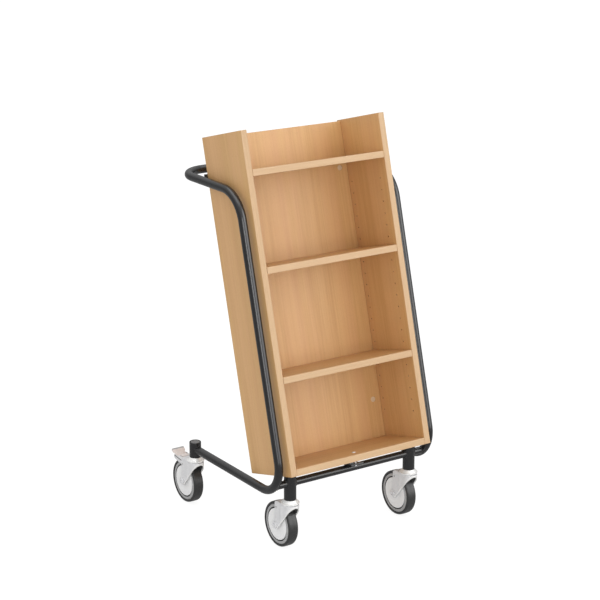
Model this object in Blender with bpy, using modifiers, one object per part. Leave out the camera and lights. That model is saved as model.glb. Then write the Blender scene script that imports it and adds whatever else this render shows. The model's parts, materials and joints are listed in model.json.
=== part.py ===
"""Book trolley: a leaning shelf case on a bent tube frame with four swivel casters.

Metres, +Z up, front of the case towards -Y, floor at z = 0.
"""
import math

import bmesh
import bpy
from mathutils import Matrix, Vector

# Room left between pieces that touch
GAP = 0.0003

# Case boards
BOARD = 0.018
CASE_WIDTH = 0.453
CASE_DEPTH = 0.200
CASE_HEIGHT = 0.905
LEAN = math.radians(15.0)
EDGE_ROUND = 0.0008
BACK_TOP_DROP = 0.0035
TOP_TRAY_DEPTH = 0.1025

# Rows of holes for the adjustable shelves
ROW_PITCH = 0.032
ROW_FIRST = 0.0912
ROW_TOP_MARGIN = 0.040
ROW_FRONT = 0.033
ROW_REAR_INSET = 0.0136
ROW_HOLE_DEPTH = 0.011
LOWER_SHELF_HOLE = 5
UPPER_SHELF_HOLE = 14
SHELF_END_GAP = 0.00075

# Wires that carry the adjustable shelves
WIRE_DIAMETER = 0.003
WIRE_STANDOFF = 0.0035
WIRE_BEND = 0.002
WIRE_END_ROOM = 0.001
KERF_FRONT_STOP = 0.022

# Cam locks between back panel and side panels
CAM_DIAMETER = 0.015
CAM_DEPTH = 0.0125
CAM_SETBACK = 0.0245
CAM_TOP_INSET = 0.131
CAM_BOTTOM_INSET = 0.124
CAM_BOLT_DIAMETER = 0.007
CAM_BOLT_GRIP = 0.011

# Bent frame tube
TUBE_DIAMETER = 0.023
TUBE_WALL = 0.0015
TUBE_SIDE_GAP = 0.007
CORNER_SETBACK = 0.0087
HANDLE_SETBACK = 0.519
HANDLE_HEIGHT = 0.946
BASE_BEND = 0.078
SHOULDER_BEND = 0.095
HANDLE_BEND = 0.071

# Posts and crossbar
POST_DIAMETER = 0.033
POST_WALL = 0.0023
POST_TOP_ROUND = 0.002
REAR_POST_LENGTH = 0.0446
FRONT_POST_SETBACK = 0.0552
FRONT_POST_SPREAD = 0.195
REAR_POST_SETBACK = 0.458
CROSSBAR_DIAMETER = 0.020
CROSSBAR_WALL = 0.0015
CASE_SEAT_GAP = 0.0151

# Fixings between frame and case
SEAT_PLATE = 0.004
LUG_PLATE = 0.004
LUG_HEIGHT = 0.030
LUG_REACH = 0.050
SCREW_SHANK = 0.0045
SCREW_HEAD = 0.009
SCREW_HEAD_HEIGHT = 0.003
SCREW_BITE = 0.013
WELD_DEPTH = 0.001
TAB_PLATE = 0.004
TAB_WIDTH = 0.040
TAB_FRONT = 0.028
SPACER_WIDTH = 0.016
CENTRE_BOLT_SETBACK = 0.0375
CENTRE_BOLT_DIAMETER = 0.005
CENTRE_BOLT_HEAD = 0.011
CENTRE_BOLT_HEAD_HEIGHT = 0.0015
CENTRE_BOLT_END = 0.003

# Caster wheels
WHEEL_DIAMETER = 0.125
WHEEL_TRAIL = 0.043
TYRE_WIDTH = 0.030
TYRE_SHOULDER = 0.005
HUB_DIAMETER = 0.110
HUB_INSET = 0.0015
RECESS_DIAMETER = 0.092
WEB_THICKNESS = 0.018
GUARD_DIAMETER = 0.088
GUARD_THICKNESS = 0.0045
BOSS_DIAMETER = 0.020
BOSS_PLAY = 0.0005
AXLE_DIAMETER = 0.010
AXLE_HEX = 0.0185
AXLE_HEX_HEIGHT = 0.0035

# Caster forks and swivel heads
FORK_GAP = 0.034
FORK_SHEET = 0.0025
FORK_BOSS = 0.0125
FORK_FRONT_SLOPE = math.radians(130.4)
FORK_REAR_EDGE = 0.0455
FORK_FRONT_CENTRE = -0.008
FORK_CLEARANCE = 0.002
DECK_THICKNESS = 0.003
CROWN_DIAMETER = 0.047
CROWN_THICKNESS = 0.0055
CROWN_ROUND = 0.002
CUP_DIAMETER = 0.050
CUP_TOP_DIAMETER = 0.034
CUP_HEIGHT = 0.0134
CUP_LIP = 0.0042
KINGPIN_DIAMETER = 0.012
RIVET_DIAMETER = 0.019
RIVET_HEIGHT = 0.003
STEM_LENGTH = 0.030

# Brakes of the rear casters
BRAKE_SIDE_DROP = 0.0155
BRAKE_SHEET = 0.0025
BRAKE_REACH = 0.086
BUTTON_SETBACK = 0.059
BUTTON_DIAMETER = 0.021
BUTTON_HEIGHT = 0.0035
PEDAL_PIVOT_SETBACK = 0.076
PEDAL_PIVOT_DROP = 0.0065
PEDAL_PIN_DIAMETER = 0.005
PEDAL_PIN_END = 0.001
PEDAL_BARREL = 0.010
PEDAL_LENGTH = 0.030
PEDAL_ANGLE = math.radians(35.0)
PEDAL_SHEET = 0.004
PEDAL_ARM_WIDTH = 0.032
PEDAL_LIP_WIDTH = 0.035
PEDAL_LIP_START = 0.0135
PEDAL_ROOM = 0.0015

# Facets, in fours on round pieces that fit each other
WHEEL_SIDES = 20
ROUND_SIDES = 16
PIN_SIDES = 12
HOLE_SIDES = 8
ROW_HOLE_SIDES = 6
HEX_SIDES = 6
TUBE_BEVEL_RESOLUTION = 3
WIRE_BEVEL_RESOLUTION = 2
BEND_STEPS = 5
WIRE_BEND_STEPS = 2
SHOULDER_STEPS = 2
BOSS_STEPS = 8
FRONT_WALL_STEPS = 6

# Faces that meet at more than this angle keep a sharp edge
SHARP_ANGLE = math.radians(35.0)

# How far a cutter runs past the surface it cuts
PAST = 0.002
FAR = 0.5

# Derived sizes of the case
HALF_CASE = CASE_WIDTH / 2
HALF_INSIDE = HALF_CASE - BOARD
BACK_FACE = CASE_DEPTH - BOARD
BACK_HEIGHT = CASE_HEIGHT - BACK_TOP_DROP
TOP_SHELF_UNDERSIDE = CASE_HEIGHT - TOP_TRAY_DEPTH - BOARD
ROW_REAR = BACK_FACE - ROW_REAR_INSET
ROW_COUNT = 1 + int((TOP_SHELF_UNDERSIDE - ROW_TOP_MARGIN - ROW_FIRST) / ROW_PITCH)
ROW_HEIGHTS = [ROW_FIRST + ROW_PITCH * index for index in range(ROW_COUNT)]
ADJUSTABLE_HEIGHTS = {
    "lower_shelf": ROW_HEIGHTS[LOWER_SHELF_HOLE],
    "upper_shelf": ROW_HEIGHTS[UPPER_SHELF_HOLE],
}
FIXED_HEIGHTS = {
    "bottom_shelf": BOARD / 2,
    "top_shelf": TOP_SHELF_UNDERSIDE + BOARD / 2,
}
ROW_HOLE_DIAMETER = WIRE_DIAMETER + 3 * GAP
KERF_HEIGHT = WIRE_DIAMETER + 2 * GAP
KERF_DEPTH = WIRE_STANDOFF + WIRE_DIAMETER
CAM_ACROSS = HALF_INSIDE - CAM_SETBACK
CAM_HEIGHTS = {"lower": CAM_BOTTOM_INSET, "upper": CASE_HEIGHT - CAM_TOP_INSET}
CAM_BOLT_DEPTH = BACK_FACE + BOARD / 2

# Derived heights of the casters
AXLE_HEIGHT = WHEEL_DIAMETER / 2
CROWN_BOTTOM = WHEEL_DIAMETER + FORK_CLEARANCE
CROWN_TOP = CROWN_BOTTOM + CROWN_THICKNESS
CUP_BOTTOM = CROWN_TOP + GAP
CUP_TOP = CUP_BOTTOM + CUP_HEIGHT
POST_FOOT = CUP_TOP + GAP
STEM_TOP = POST_FOOT + STEM_LENGTH
FORK_HALF = FORK_GAP / 2 + FORK_SHEET

# Derived places of the frame, the case front's lower edge at FRONT_Y
OVERALL_DEPTH = REAR_POST_SETBACK + WHEEL_TRAIL + WHEEL_DIAMETER / 2
FRONT_Y = -OVERALL_DEPTH / 2
TUBE_RADIUS = TUBE_DIAMETER / 2
TUBE_X = HALF_CASE + TUBE_SIDE_GAP + TUBE_RADIUS
BASE_HEIGHT = POST_FOOT + REAR_POST_LENGTH / 2
CORNER_Y = FRONT_Y + CORNER_SETBACK
SHOULDER_Y = CORNER_Y + (HANDLE_HEIGHT - BASE_HEIGHT) * math.tan(LEAN)
HANDLE_Y = FRONT_Y + HANDLE_SETBACK
FRONT_POST_Y = FRONT_Y + FRONT_POST_SETBACK
REAR_POST_Y = FRONT_Y + REAR_POST_SETBACK
POST_RADIUS = POST_DIAMETER / 2
POST_BORE = POST_RADIUS - POST_WALL
REAR_POST_TOP = POST_FOOT + REAR_POST_LENGTH
CROSSBAR_RADIUS = CROSSBAR_DIAMETER / 2

# The crossbar meets the base bend's centre line above the front posts
BEND_CENTRE_Y = CORNER_Y + BASE_BEND * math.tan((math.pi / 2 + LEAN) / 2)
BEND_CENTRE_Z = BASE_HEIGHT + BASE_BEND
CROSSBAR_DROP = math.sqrt(BASE_BEND ** 2 - (BEND_CENTRE_Y - FRONT_POST_Y) ** 2)
CROSSBAR_Z = BEND_CENTRE_Z - CROSSBAR_DROP
CASE_SEAT_Z = CROSSBAR_Z + CROSSBAR_RADIUS + CASE_SEAT_GAP
CASE_FRONT_Z = CASE_SEAT_Z + FRONT_POST_SETBACK * math.tan(LEAN)

# Places in the case's own leaning frame: depth behind its front, height above its underside
CROSSBAR_FALL = CASE_FRONT_Z - CROSSBAR_Z
CROSSBAR_DEPTH = FRONT_POST_SETBACK * math.cos(LEAN) + CROSSBAR_FALL * math.sin(LEAN)
CROSSBAR_LEVEL = FRONT_POST_SETBACK * math.sin(LEAN) - CROSSBAR_FALL * math.cos(LEAN)
LUG_FACE = CASE_DEPTH + GAP
LUG_BACK = LUG_FACE + LUG_PLATE
LUG_LEVEL = (HANDLE_HEIGHT - CASE_FRONT_Z + LUG_FACE * math.sin(LEAN)) / math.cos(LEAN)
LUG_START = HALF_INSIDE - LUG_REACH
LUG_END = TUBE_X - TUBE_RADIUS + WELD_DEPTH
LUG_SCREW_ACROSS = (LUG_START + HALF_INSIDE) / 2
TAB_BOTTOM = CROSSBAR_LEVEL + CROSSBAR_RADIUS - WELD_DEPTH
TAB_TOP = TAB_BOTTOM + TAB_PLATE

# Derived places of the brakes
BRAKE_TOP = CROWN_BOTTOM + BRAKE_SHEET
BRAKE_FRONT = FORK_REAR_EDGE + GAP
PEDAL_PIVOT_Z = BRAKE_TOP - PEDAL_PIVOT_DROP
BRAKE_OPEN_FROM = PEDAL_PIVOT_SETBACK - PEDAL_BARREL / 2 - PEDAL_ROOM

# Finishes: colour, roughness, metallic
BEECH = ((0.53, 0.32, 0.15), 0.45, 0.0)
BLACK_COAT = ((0.035, 0.035, 0.036), 0.38, 0.0)
ZINC = ((0.62, 0.62, 0.61), 0.30, 1.0)
BRIGHT_ZINC = ((0.75, 0.75, 0.74), 0.20, 1.0)
GREY_PLASTIC = ((0.35, 0.35, 0.35), 0.45, 0.0)
PALE_PLASTIC = ((0.62, 0.62, 0.62), 0.40, 0.0)
GREY_RUBBER = ((0.07, 0.07, 0.07), 0.60, 0.0)
PEDAL_PLASTIC = ((0.62, 0.55, 0.53), 0.45, 0.0)

SIDES = {"left": -1, "right": 1}


def clear_scene():
    """Take every object out of the scene."""
    for item in list(bpy.data.objects):
        bpy.data.objects.remove(item, do_unlink=True)


def new_collection(name):
    collection = bpy.data.collections.new(name)
    bpy.context.scene.collection.children.link(collection)
    return collection


def finish_material(name, finish):
    """Principled material from a colour, a roughness and a metallic value."""
    colour, roughness, metallic = finish
    material = bpy.data.materials.new(name)
    material.use_nodes = True
    shader = material.node_tree.nodes["Principled BSDF"]
    shader.inputs["Base Color"].default_value = (*colour, 1.0)
    shader.inputs["Roughness"].default_value = roughness
    shader.inputs["Metallic"].default_value = metallic
    return material


def place(item, collection, parent, location, rotation):
    collection.objects.link(item)
    item.parent = parent
    item.location = location
    item.rotation_euler = rotation


def part(name, mesh, finish, parent=None, location=(0, 0, 0), rotation=(0, 0, 0)):
    """A named piece of the trolley with a material of its own."""
    mesh.materials.append(finish_material(name + "_finish", finish))
    item = bpy.data.objects.new(name, mesh)
    place(item, trolley, parent, location, rotation)
    return item


def helper(name, mesh, parent=None, location=(0, 0, 0), rotation=(0, 0, 0)):
    """A hidden shape that cuts or joins a piece."""
    item = bpy.data.objects.new(name, mesh)
    place(item, cutters, parent, location, rotation)
    item.hide_render = True
    item.display_type = "WIRE"
    return item


def empty(name, location, parent=None, rotation=(0, 0, 0)):
    item = bpy.data.objects.new(name, None)
    place(item, trolley, parent, location, rotation)
    return item


def combine(item, tool, operation):
    """Cut a piece with a helper, join the two or keep what they share."""
    modifier = item.modifiers.new(tool.name, "BOOLEAN")
    modifier.operation = operation
    modifier.solver = "EXACT"
    modifier.object = tool


def round_edges(item):
    modifier = item.modifiers.new("edge_round", "BEVEL")
    modifier.width = EDGE_ROUND
    modifier.segments = 1


def mesh_from_bmesh(name, build):
    mesh = bpy.data.meshes.new(name)
    build.to_mesh(mesh)
    build.free()
    return mesh


def box_mesh(name, boxes):
    """One mesh of separate boxes, each given by its low and its high corner."""
    build = bmesh.new()
    for low, high in boxes:
        low = Vector(low)
        high = Vector(high)
        matrix = Matrix.Translation((low + high) / 2) @ Matrix.Diagonal((*(high - low), 1.0))
        bmesh.ops.create_cube(build, size=1.0, matrix=matrix)
    return mesh_from_bmesh(name, build)


def rod_mesh(name, rods):
    """One mesh of separate round rods, each a start, an end, a diameter and a number of sides."""
    build = bmesh.new()
    for start, end, diameter, sides in rods:
        start = Vector(start)
        run = Vector(end) - start
        turn = run.to_track_quat("Z", "Y").to_matrix().to_4x4()
        matrix = Matrix.Translation(start + run / 2) @ turn
        bmesh.ops.create_cone(
            build,
            cap_ends=True,
            segments=sides,
            radius1=diameter / 2,
            radius2=diameter / 2,
            depth=run.length,
            matrix=matrix,
        )
    return mesh_from_bmesh(name, build)


def profile_mesh(name, profile, phase=0.0):
    """A half profile of radius and height, closed where it stays off the axis."""
    build = bmesh.new()
    corners = []
    for radius, height in profile:
        corner = (radius * math.cos(phase), radius * math.sin(phase), height)
        corners.append(build.verts.new(corner))
    for first, second in zip(corners, corners[1:]):
        build.edges.new((first, second))
    if profile[0][0] > 0:
        build.edges.new((corners[-1], corners[0]))
    return mesh_from_bmesh(name, build)


def turn(item, sides):
    """Sweep a half profile once round its own Z axis."""
    modifier = item.modifiers.new("turn", "SCREW")
    modifier.axis = "Z"
    modifier.angle = 2 * math.pi
    modifier.steps = sides
    modifier.render_steps = sides
    modifier.use_merge_vertices = True
    modifier.merge_threshold = 1e-5


def ring_profile(inner, outer, low, high):
    """Half profile of a plain ring, from the top of its outer side down."""
    return [(inner, high), (outer, high), (outer, low), (inner, low)]


def plain_mesh(name, curve):
    """A curve made into a closed mesh with welded caps."""
    item = bpy.data.objects.new(name, curve)
    cutters.objects.link(item)
    graph = bpy.context.evaluated_depsgraph_get()
    mesh = bpy.data.meshes.new_from_object(item.evaluated_get(graph))
    bpy.data.objects.remove(item)
    build = bmesh.new()
    build.from_mesh(mesh)
    bmesh.ops.remove_doubles(build, verts=build.verts, dist=1e-6)
    build.to_mesh(mesh)
    build.free()
    return mesh


def poly_curve(name, dimensions, points, cyclic):
    curve = bpy.data.curves.new(name, "CURVE")
    curve.dimensions = dimensions
    spline = curve.splines.new("POLY")
    spline.points.add(len(points) - 1)
    for corner, point in zip(spline.points, points):
        corner.co = (*point, 1.0)
    spline.use_cyclic_u = cyclic
    return curve


def outline_mesh(name, points, thickness):
    """A flat outline, thickened evenly to both sides of its plane."""
    flat = [(across, along, 0.0) for across, along in points]
    curve = poly_curve(name, "2D", flat, cyclic=True)
    curve.fill_mode = "BOTH"
    curve.extrude = thickness / 2
    return plain_mesh(name, curve)


def tube_mesh(name, points, diameter, resolution, capped):
    """A round tube swept along a path."""
    curve = poly_curve(name, "3D", points, cyclic=False)
    curve.bevel_depth = diameter / 2
    curve.bevel_resolution = resolution
    curve.use_fill_caps = capped
    return plain_mesh(name, curve)


def arc(centre, radius, start, end, steps):
    """Points on an arc in a plane, both ends included."""
    points = []
    for step in range(steps + 1):
        angle = start + (end - start) * step / steps
        across = centre[0] + radius * math.cos(angle)
        along = centre[1] + radius * math.sin(angle)
        points.append((across, along))
    return points


def bent_path(corners, steps):
    """A path with each inner corner rounded to its own bend radius."""
    path = [Vector(corners[0][0])]
    for before, (corner, radius), after in zip(corners, corners[1:], corners[2:]):
        corner = Vector(corner)
        arriving = (corner - Vector(before[0])).normalized()
        leaving = (Vector(after[0]) - corner).normalized()
        angle = arriving.angle(leaving)
        tangent = radius * math.tan(angle / 2)
        inward = (leaving - arriving).normalized()
        centre = corner + inward * math.hypot(radius, tangent)
        start = corner - arriving * tangent - centre
        axis = arriving.cross(leaving)
        for step in range(steps + 1):
            path.append(centre + Matrix.Rotation(angle * step / steps, 3, axis) @ start)
    path.append(Vector(corners[-1][0]))
    return path


def frame_path():
    """Centre line of the bent tube, from the left rear post round to the right one."""
    half = [
        ((TUBE_X, REAR_POST_Y, BASE_HEIGHT), 0.0),
        ((TUBE_X, CORNER_Y, BASE_HEIGHT), BASE_BEND),
        ((TUBE_X, SHOULDER_Y, HANDLE_HEIGHT), SHOULDER_BEND),
        ((TUBE_X, HANDLE_Y, HANDLE_HEIGHT), HANDLE_BEND),
    ]
    other_half = [((-x, y, z), radius) for (x, y, z), radius in half]
    return bent_path(other_half + half[::-1], BEND_STEPS)


def smooth_by_angle():
    """Node group that shades a piece smooth and keeps its sharp edges."""
    group = bpy.data.node_groups.new("smooth_by_angle", "GeometryNodeTree")
    group.interface.new_socket("Geometry", in_out="INPUT", socket_type="NodeSocketGeometry")
    group.interface.new_socket("Geometry", in_out="OUTPUT", socket_type="NodeSocketGeometry")
    start = group.nodes.new("NodeGroupInput")
    end = group.nodes.new("NodeGroupOutput")
    faces = group.nodes.new("GeometryNodeSetShadeSmooth")
    edges = group.nodes.new("GeometryNodeSetShadeSmooth")
    edges.domain = "EDGE"
    edges.inputs["Shade Smooth"].default_value = False
    angle = group.nodes.new("GeometryNodeInputMeshEdgeAngle")
    sharp = group.nodes.new("FunctionNodeCompare")
    sharp.operation = "GREATER_THAN"
    sharp.inputs["B"].default_value = SHARP_ANGLE
    group.links.new(start.outputs[0], faces.inputs["Geometry"])
    group.links.new(faces.outputs[0], edges.inputs["Geometry"])
    group.links.new(angle.outputs["Unsigned Angle"], sharp.inputs["A"])
    group.links.new(sharp.outputs[0], edges.inputs["Selection"])
    group.links.new(edges.outputs[0], end.inputs[0])
    return group


def shade_pieces():
    group = smooth_by_angle()
    for item in trolley.objects:
        if item.type == "MESH":
            item.modifiers.new("shading", "NODES").node_group = group


def build_side_panel(name, side):
    inner = side * HALF_INSIDE
    outer = side * HALF_CASE
    low = (min(inner, outer), 0.0, 0.0)
    high = (max(inner, outer), CASE_DEPTH, CASE_HEIGHT)
    panel = part(name, box_mesh(name, [(low, high)]), BEECH, case_lean)
    round_edges(panel)
    mouth = inner - side * PAST
    holes = []
    for height in ROW_HEIGHTS:
        for depth in (ROW_FRONT, ROW_REAR):
            end = inner + side * ROW_HOLE_DEPTH
            start = (mouth, depth, height)
            holes.append((start, (end, depth, height), ROW_HOLE_DIAMETER, ROW_HOLE_SIDES))
    for height in CAM_HEIGHTS.values():
        end = inner + side * (CAM_BOLT_GRIP + GAP)
        bore = CAM_BOLT_DIAMETER + 2 * GAP
        start = (mouth, CAM_BOLT_DEPTH, height)
        holes.append((start, (end, CAM_BOLT_DEPTH, height), bore, PIN_SIDES))
    drill = helper(name + "_drill", rod_mesh(name + "_drill", holes), case_lean)
    combine(panel, drill, "DIFFERENCE")


def build_back_panel():
    half = HALF_INSIDE - GAP
    low = (-half, BACK_FACE, 0.0)
    high = (half, CASE_DEPTH, BACK_HEIGHT)
    panel = part("back_panel", box_mesh("back_panel", [(low, high)]), BEECH, case_lean)
    round_edges(panel)
    holes = []
    bores = []
    for side in SIDES.values():
        across = side * CAM_ACROSS
        for height in CAM_HEIGHTS.values():
            mouth = (across, BACK_FACE - PAST, height)
            end = (across, BACK_FACE + CAM_DEPTH + GAP, height)
            holes.append((mouth, end, CAM_DIAMETER + 2 * GAP, PIN_SIDES))
            start = (across, CAM_BOLT_DEPTH, height)
            edge = (side * (half + PAST), CAM_BOLT_DEPTH, height)
            bores.append((start, edge, CAM_BOLT_DIAMETER + 2 * GAP, PIN_SIDES))
        mouth = (side * LUG_SCREW_ACROSS, CASE_DEPTH + PAST, LUG_LEVEL)
        end = (side * LUG_SCREW_ACROSS, CASE_DEPTH - SCREW_BITE - GAP, LUG_LEVEL)
        bores.append((mouth, end, SCREW_SHANK + 2 * GAP, HOLE_SIDES))
    combine(panel, helper("cam_pockets", rod_mesh("cam_pockets", holes), case_lean), "DIFFERENCE")
    combine(panel, helper("back_bores", rod_mesh("back_bores", bores), case_lean), "DIFFERENCE")


def build_fixed_shelf(name, height):
    half = HALF_INSIDE - GAP
    low = (-half, 0.0, height - BOARD / 2)
    high = (half, BACK_FACE - GAP, height + BOARD / 2)
    shelf = part(name, box_mesh(name, [(low, high)]), BEECH, case_lean)
    round_edges(shelf)
    return shelf


def build_adjustable_shelf(name, height):
    """A loose shelf with a groove in each end, open at the back, for its wire."""
    half = HALF_INSIDE - SHELF_END_GAP
    low = (-half, 0.0, -BOARD / 2)
    high = (half, BACK_FACE - GAP, BOARD / 2)
    shelf = part(name, box_mesh(name, [(low, high)]), BEECH, case_lean, (0.0, 0.0, height))
    round_edges(shelf)
    kerfs = []
    for side in SIDES.values():
        ends = sorted((side * (HALF_INSIDE - KERF_DEPTH), side * (half + PAST)))
        kerf_low = (ends[0], KERF_FRONT_STOP, -KERF_HEIGHT / 2)
        kerf_high = (ends[1], BACK_FACE + PAST, KERF_HEIGHT / 2)
        kerfs.append((kerf_low, kerf_high))
    saw = helper(name + "_saw", box_mesh(name + "_saw", kerfs), case_lean, (0.0, 0.0, height))
    combine(shelf, saw, "DIFFERENCE")


def build_shelf_wire(name, side, height):
    """A bent wire with both ends in holes of one row pair."""
    run = side * (HALF_INSIDE - WIRE_STANDOFF)
    end = side * (HALF_INSIDE + ROW_HOLE_DEPTH - WIRE_END_ROOM)
    corners = [
        ((end, ROW_FRONT, height), 0.0),
        ((run, ROW_FRONT, height), WIRE_BEND),
        ((run, ROW_REAR, height), WIRE_BEND),
        ((end, ROW_REAR, height), 0.0),
    ]
    path = bent_path(corners, WIRE_BEND_STEPS)
    mesh = tube_mesh(name, path, WIRE_DIAMETER, WIRE_BEVEL_RESOLUTION, capped=True)
    part(name, mesh, ZINC, case_lean)


def build_cam_lock(name, side, height):
    """A cam in the back panel's face, locked on the bolt from the side panel."""
    across = side * CAM_ACROSS
    face = (across, BACK_FACE, height)
    cam = rod_mesh(name, [(face, (across, BACK_FACE + CAM_DEPTH, height), CAM_DIAMETER, PIN_SIDES)])
    lock = part(name, cam, BRIGHT_ZINC, case_lean)
    start = (across, CAM_BOLT_DEPTH, height)
    end = (side * (HALF_INSIDE + CAM_BOLT_GRIP), CAM_BOLT_DEPTH, height)
    bolt = rod_mesh(name + "_bolt", [(start, end, CAM_BOLT_DIAMETER, PIN_SIDES)])
    combine(lock, helper(name + "_bolt", bolt, case_lean), "UNION")


def build_frame_tube():
    """The bent tube with its two welded lugs behind the case."""
    path = frame_path()
    mesh = tube_mesh("frame_tube", path, TUBE_DIAMETER, TUBE_BEVEL_RESOLUTION, capped=False)
    tube = part("frame_tube", mesh, BLACK_COAT)
    wall = tube.modifiers.new("wall", "SOLIDIFY")
    wall.thickness = TUBE_WALL
    wall.offset = -1.0
    posts = []
    lugs = []
    holes = []
    for side in SIDES.values():
        foot = (side * TUBE_X, REAR_POST_Y, POST_FOOT - PAST)
        top = (side * TUBE_X, REAR_POST_Y, REAR_POST_TOP + PAST)
        posts.append((foot, top, POST_DIAMETER + 2 * GAP, ROUND_SIDES))
        ends = sorted((side * LUG_START, side * LUG_END))
        low = (ends[0], LUG_FACE, LUG_LEVEL - LUG_HEIGHT / 2)
        high = (ends[1], LUG_BACK, LUG_LEVEL + LUG_HEIGHT / 2)
        lugs.append((low, high))
        mouth = (side * LUG_SCREW_ACROSS, LUG_FACE - PAST, LUG_LEVEL)
        end = (side * LUG_SCREW_ACROSS, LUG_BACK + PAST, LUG_LEVEL)
        holes.append((mouth, end, SCREW_SHANK + 2 * GAP, HOLE_SIDES))
    combine(tube, helper("rear_post_cope", rod_mesh("rear_post_cope", posts)), "DIFFERENCE")
    combine(tube, helper("back_lugs", box_mesh("back_lugs", lugs), case_lean), "UNION")
    combine(tube, helper("lug_drill", rod_mesh("lug_drill", holes), case_lean), "DIFFERENCE")


def build_crossbar():
    """The front crossbar, coped to the bends of the frame tube, with the tab for the centre bolt."""
    profile = ring_profile(CROSSBAR_RADIUS - CROSSBAR_WALL, CROSSBAR_RADIUS, -TUBE_X, TUBE_X)
    mesh = profile_mesh("front_crossbar", profile)
    along_x = (0.0, math.pi / 2, 0.0)
    centre = (0.0, FRONT_POST_Y, CROSSBAR_Z)
    bar = part("front_crossbar", mesh, BLACK_COAT, None, centre, along_x)
    turn(bar, ROUND_SIDES)
    grown = TUBE_DIAMETER + 2 * GAP
    cope = tube_mesh("tube_cope", frame_path(), grown, TUBE_BEVEL_RESOLUTION, capped=True)
    combine(bar, helper("tube_cope", cope), "DIFFERENCE")
    half = TAB_WIDTH / 2
    plate = ((-half, TAB_FRONT, TAB_BOTTOM), (half, CROSSBAR_DEPTH, TAB_TOP))
    combine(bar, helper("tab_plate", box_mesh("tab_plate", [plate]), case_lean), "UNION")
    spacer_low = (-half + WELD_DEPTH, CENTRE_BOLT_SETBACK, TAB_TOP - WELD_DEPTH)
    spacer_high = (SPACER_WIDTH - half, CROSSBAR_DEPTH - PAST, -GAP)
    spacer = box_mesh("tab_spacer", [(spacer_low, spacer_high)])
    combine(bar, helper("tab_spacer", spacer, case_lean), "UNION")
    low = (0.0, CENTRE_BOLT_SETBACK, TAB_BOTTOM - PAST)
    high = (0.0, CENTRE_BOLT_SETBACK, TAB_TOP + PAST)
    hole = rod_mesh("tab_drill", [(low, high, CENTRE_BOLT_DIAMETER + 2 * GAP, HOLE_SIDES)])
    combine(bar, helper("tab_drill", hole, case_lean), "DIFFERENCE")


def build_front_posts():
    """Posts with closed sloped tops under the case, crossed by the crossbar."""
    ceiling_mesh = box_mesh("post_ceiling", [((-FAR, -FAR, -GAP), (FAR, FAR, FAR))])
    ceiling = helper("post_ceiling", ceiling_mesh, case_lean)
    inner_mesh = box_mesh("bore_ceiling", [((-FAR, -FAR, -GAP - SEAT_PLATE), (FAR, FAR, FAR))])
    inner_ceiling = helper("bore_ceiling", inner_mesh, case_lean)
    start = (-TUBE_X, FRONT_POST_Y, CROSSBAR_Z)
    end = (TUBE_X, FRONT_POST_Y, CROSSBAR_Z)
    cross = [(start, end, CROSSBAR_DIAMETER + 2 * GAP, ROUND_SIDES)]
    crossbar_bore = helper("crossbar_bore", rod_mesh("crossbar_bore", cross))
    for side_name, side in SIDES.items():
        name = f"front_{side_name}_post"
        foot = (side * FRONT_POST_SPREAD, FRONT_POST_Y, POST_FOOT)
        height = CASE_FRONT_Z - POST_FOOT
        solid = rod_mesh(name, [((0, 0, 0), (0, 0, height), POST_DIAMETER, ROUND_SIDES)])
        post = part(name, solid, BLACK_COAT, None, foot)
        combine(post, ceiling, "DIFFERENCE")
        core = rod_mesh(name + "_bore", [((0, 0, -PAST), (0, 0, height), 2 * POST_BORE, ROUND_SIDES)])
        bore = helper(name + "_bore", core, None, foot)
        combine(bore, inner_ceiling, "DIFFERENCE")
        combine(post, bore, "DIFFERENCE")
        combine(post, crossbar_bore, "DIFFERENCE")


def build_rear_posts():
    for side_name, side in SIDES.items():
        name = f"rear_{side_name}_post"
        profile = [
            (0.0, REAR_POST_LENGTH),
            (POST_RADIUS - POST_TOP_ROUND, REAR_POST_LENGTH),
            (POST_RADIUS, REAR_POST_LENGTH - POST_TOP_ROUND),
            (POST_RADIUS, 0.0),
            (POST_BORE, 0.0),
            (POST_BORE, REAR_POST_LENGTH - POST_WALL),
            (0.0, REAR_POST_LENGTH - POST_WALL),
        ]
        foot = (side * TUBE_X, REAR_POST_Y, POST_FOOT)
        post = part(name, profile_mesh(name, profile), BLACK_COAT, None, foot)
        turn(post, ROUND_SIDES)


def build_lug_screw(name, side):
    across = side * LUG_SCREW_ACROSS
    seat = LUG_BACK + GAP
    tip = (across, CASE_DEPTH - SCREW_BITE, LUG_LEVEL)
    neck = (across, seat, LUG_LEVEL)
    inside_head = (across, seat + SCREW_HEAD_HEIGHT / 2, LUG_LEVEL)
    top = (across, seat + SCREW_HEAD_HEIGHT, LUG_LEVEL)
    screw = part(name, rod_mesh(name, [(tip, inside_head, SCREW_SHANK, HOLE_SIDES)]), ZINC, case_lean)
    head = rod_mesh(name + "_head", [(neck, top, SCREW_HEAD, HOLE_SIDES)])
    combine(screw, helper(name + "_head", head, case_lean), "UNION")


def build_centre_bolt():
    """The bolt that holds the bottom shelf to the crossbar's tab."""
    radius = CENTRE_BOLT_DIAMETER / 2
    seat = BOARD + GAP
    profile = [
        (0.0, seat + CENTRE_BOLT_HEAD_HEIGHT),
        (CENTRE_BOLT_HEAD / 2 - CENTRE_BOLT_HEAD_HEIGHT, seat + CENTRE_BOLT_HEAD_HEIGHT),
        (CENTRE_BOLT_HEAD / 2, seat),
        (radius, seat),
        (radius, TAB_BOTTOM - CENTRE_BOLT_END),
        (0.0, TAB_BOTTOM - CENTRE_BOLT_END),
    ]
    mesh = profile_mesh("centre_bolt", profile)
    bolt = part("centre_bolt", mesh, ZINC, case_lean, (0.0, CENTRE_BOLT_SETBACK, 0.0))
    turn(bolt, HOLE_SIDES)


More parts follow.
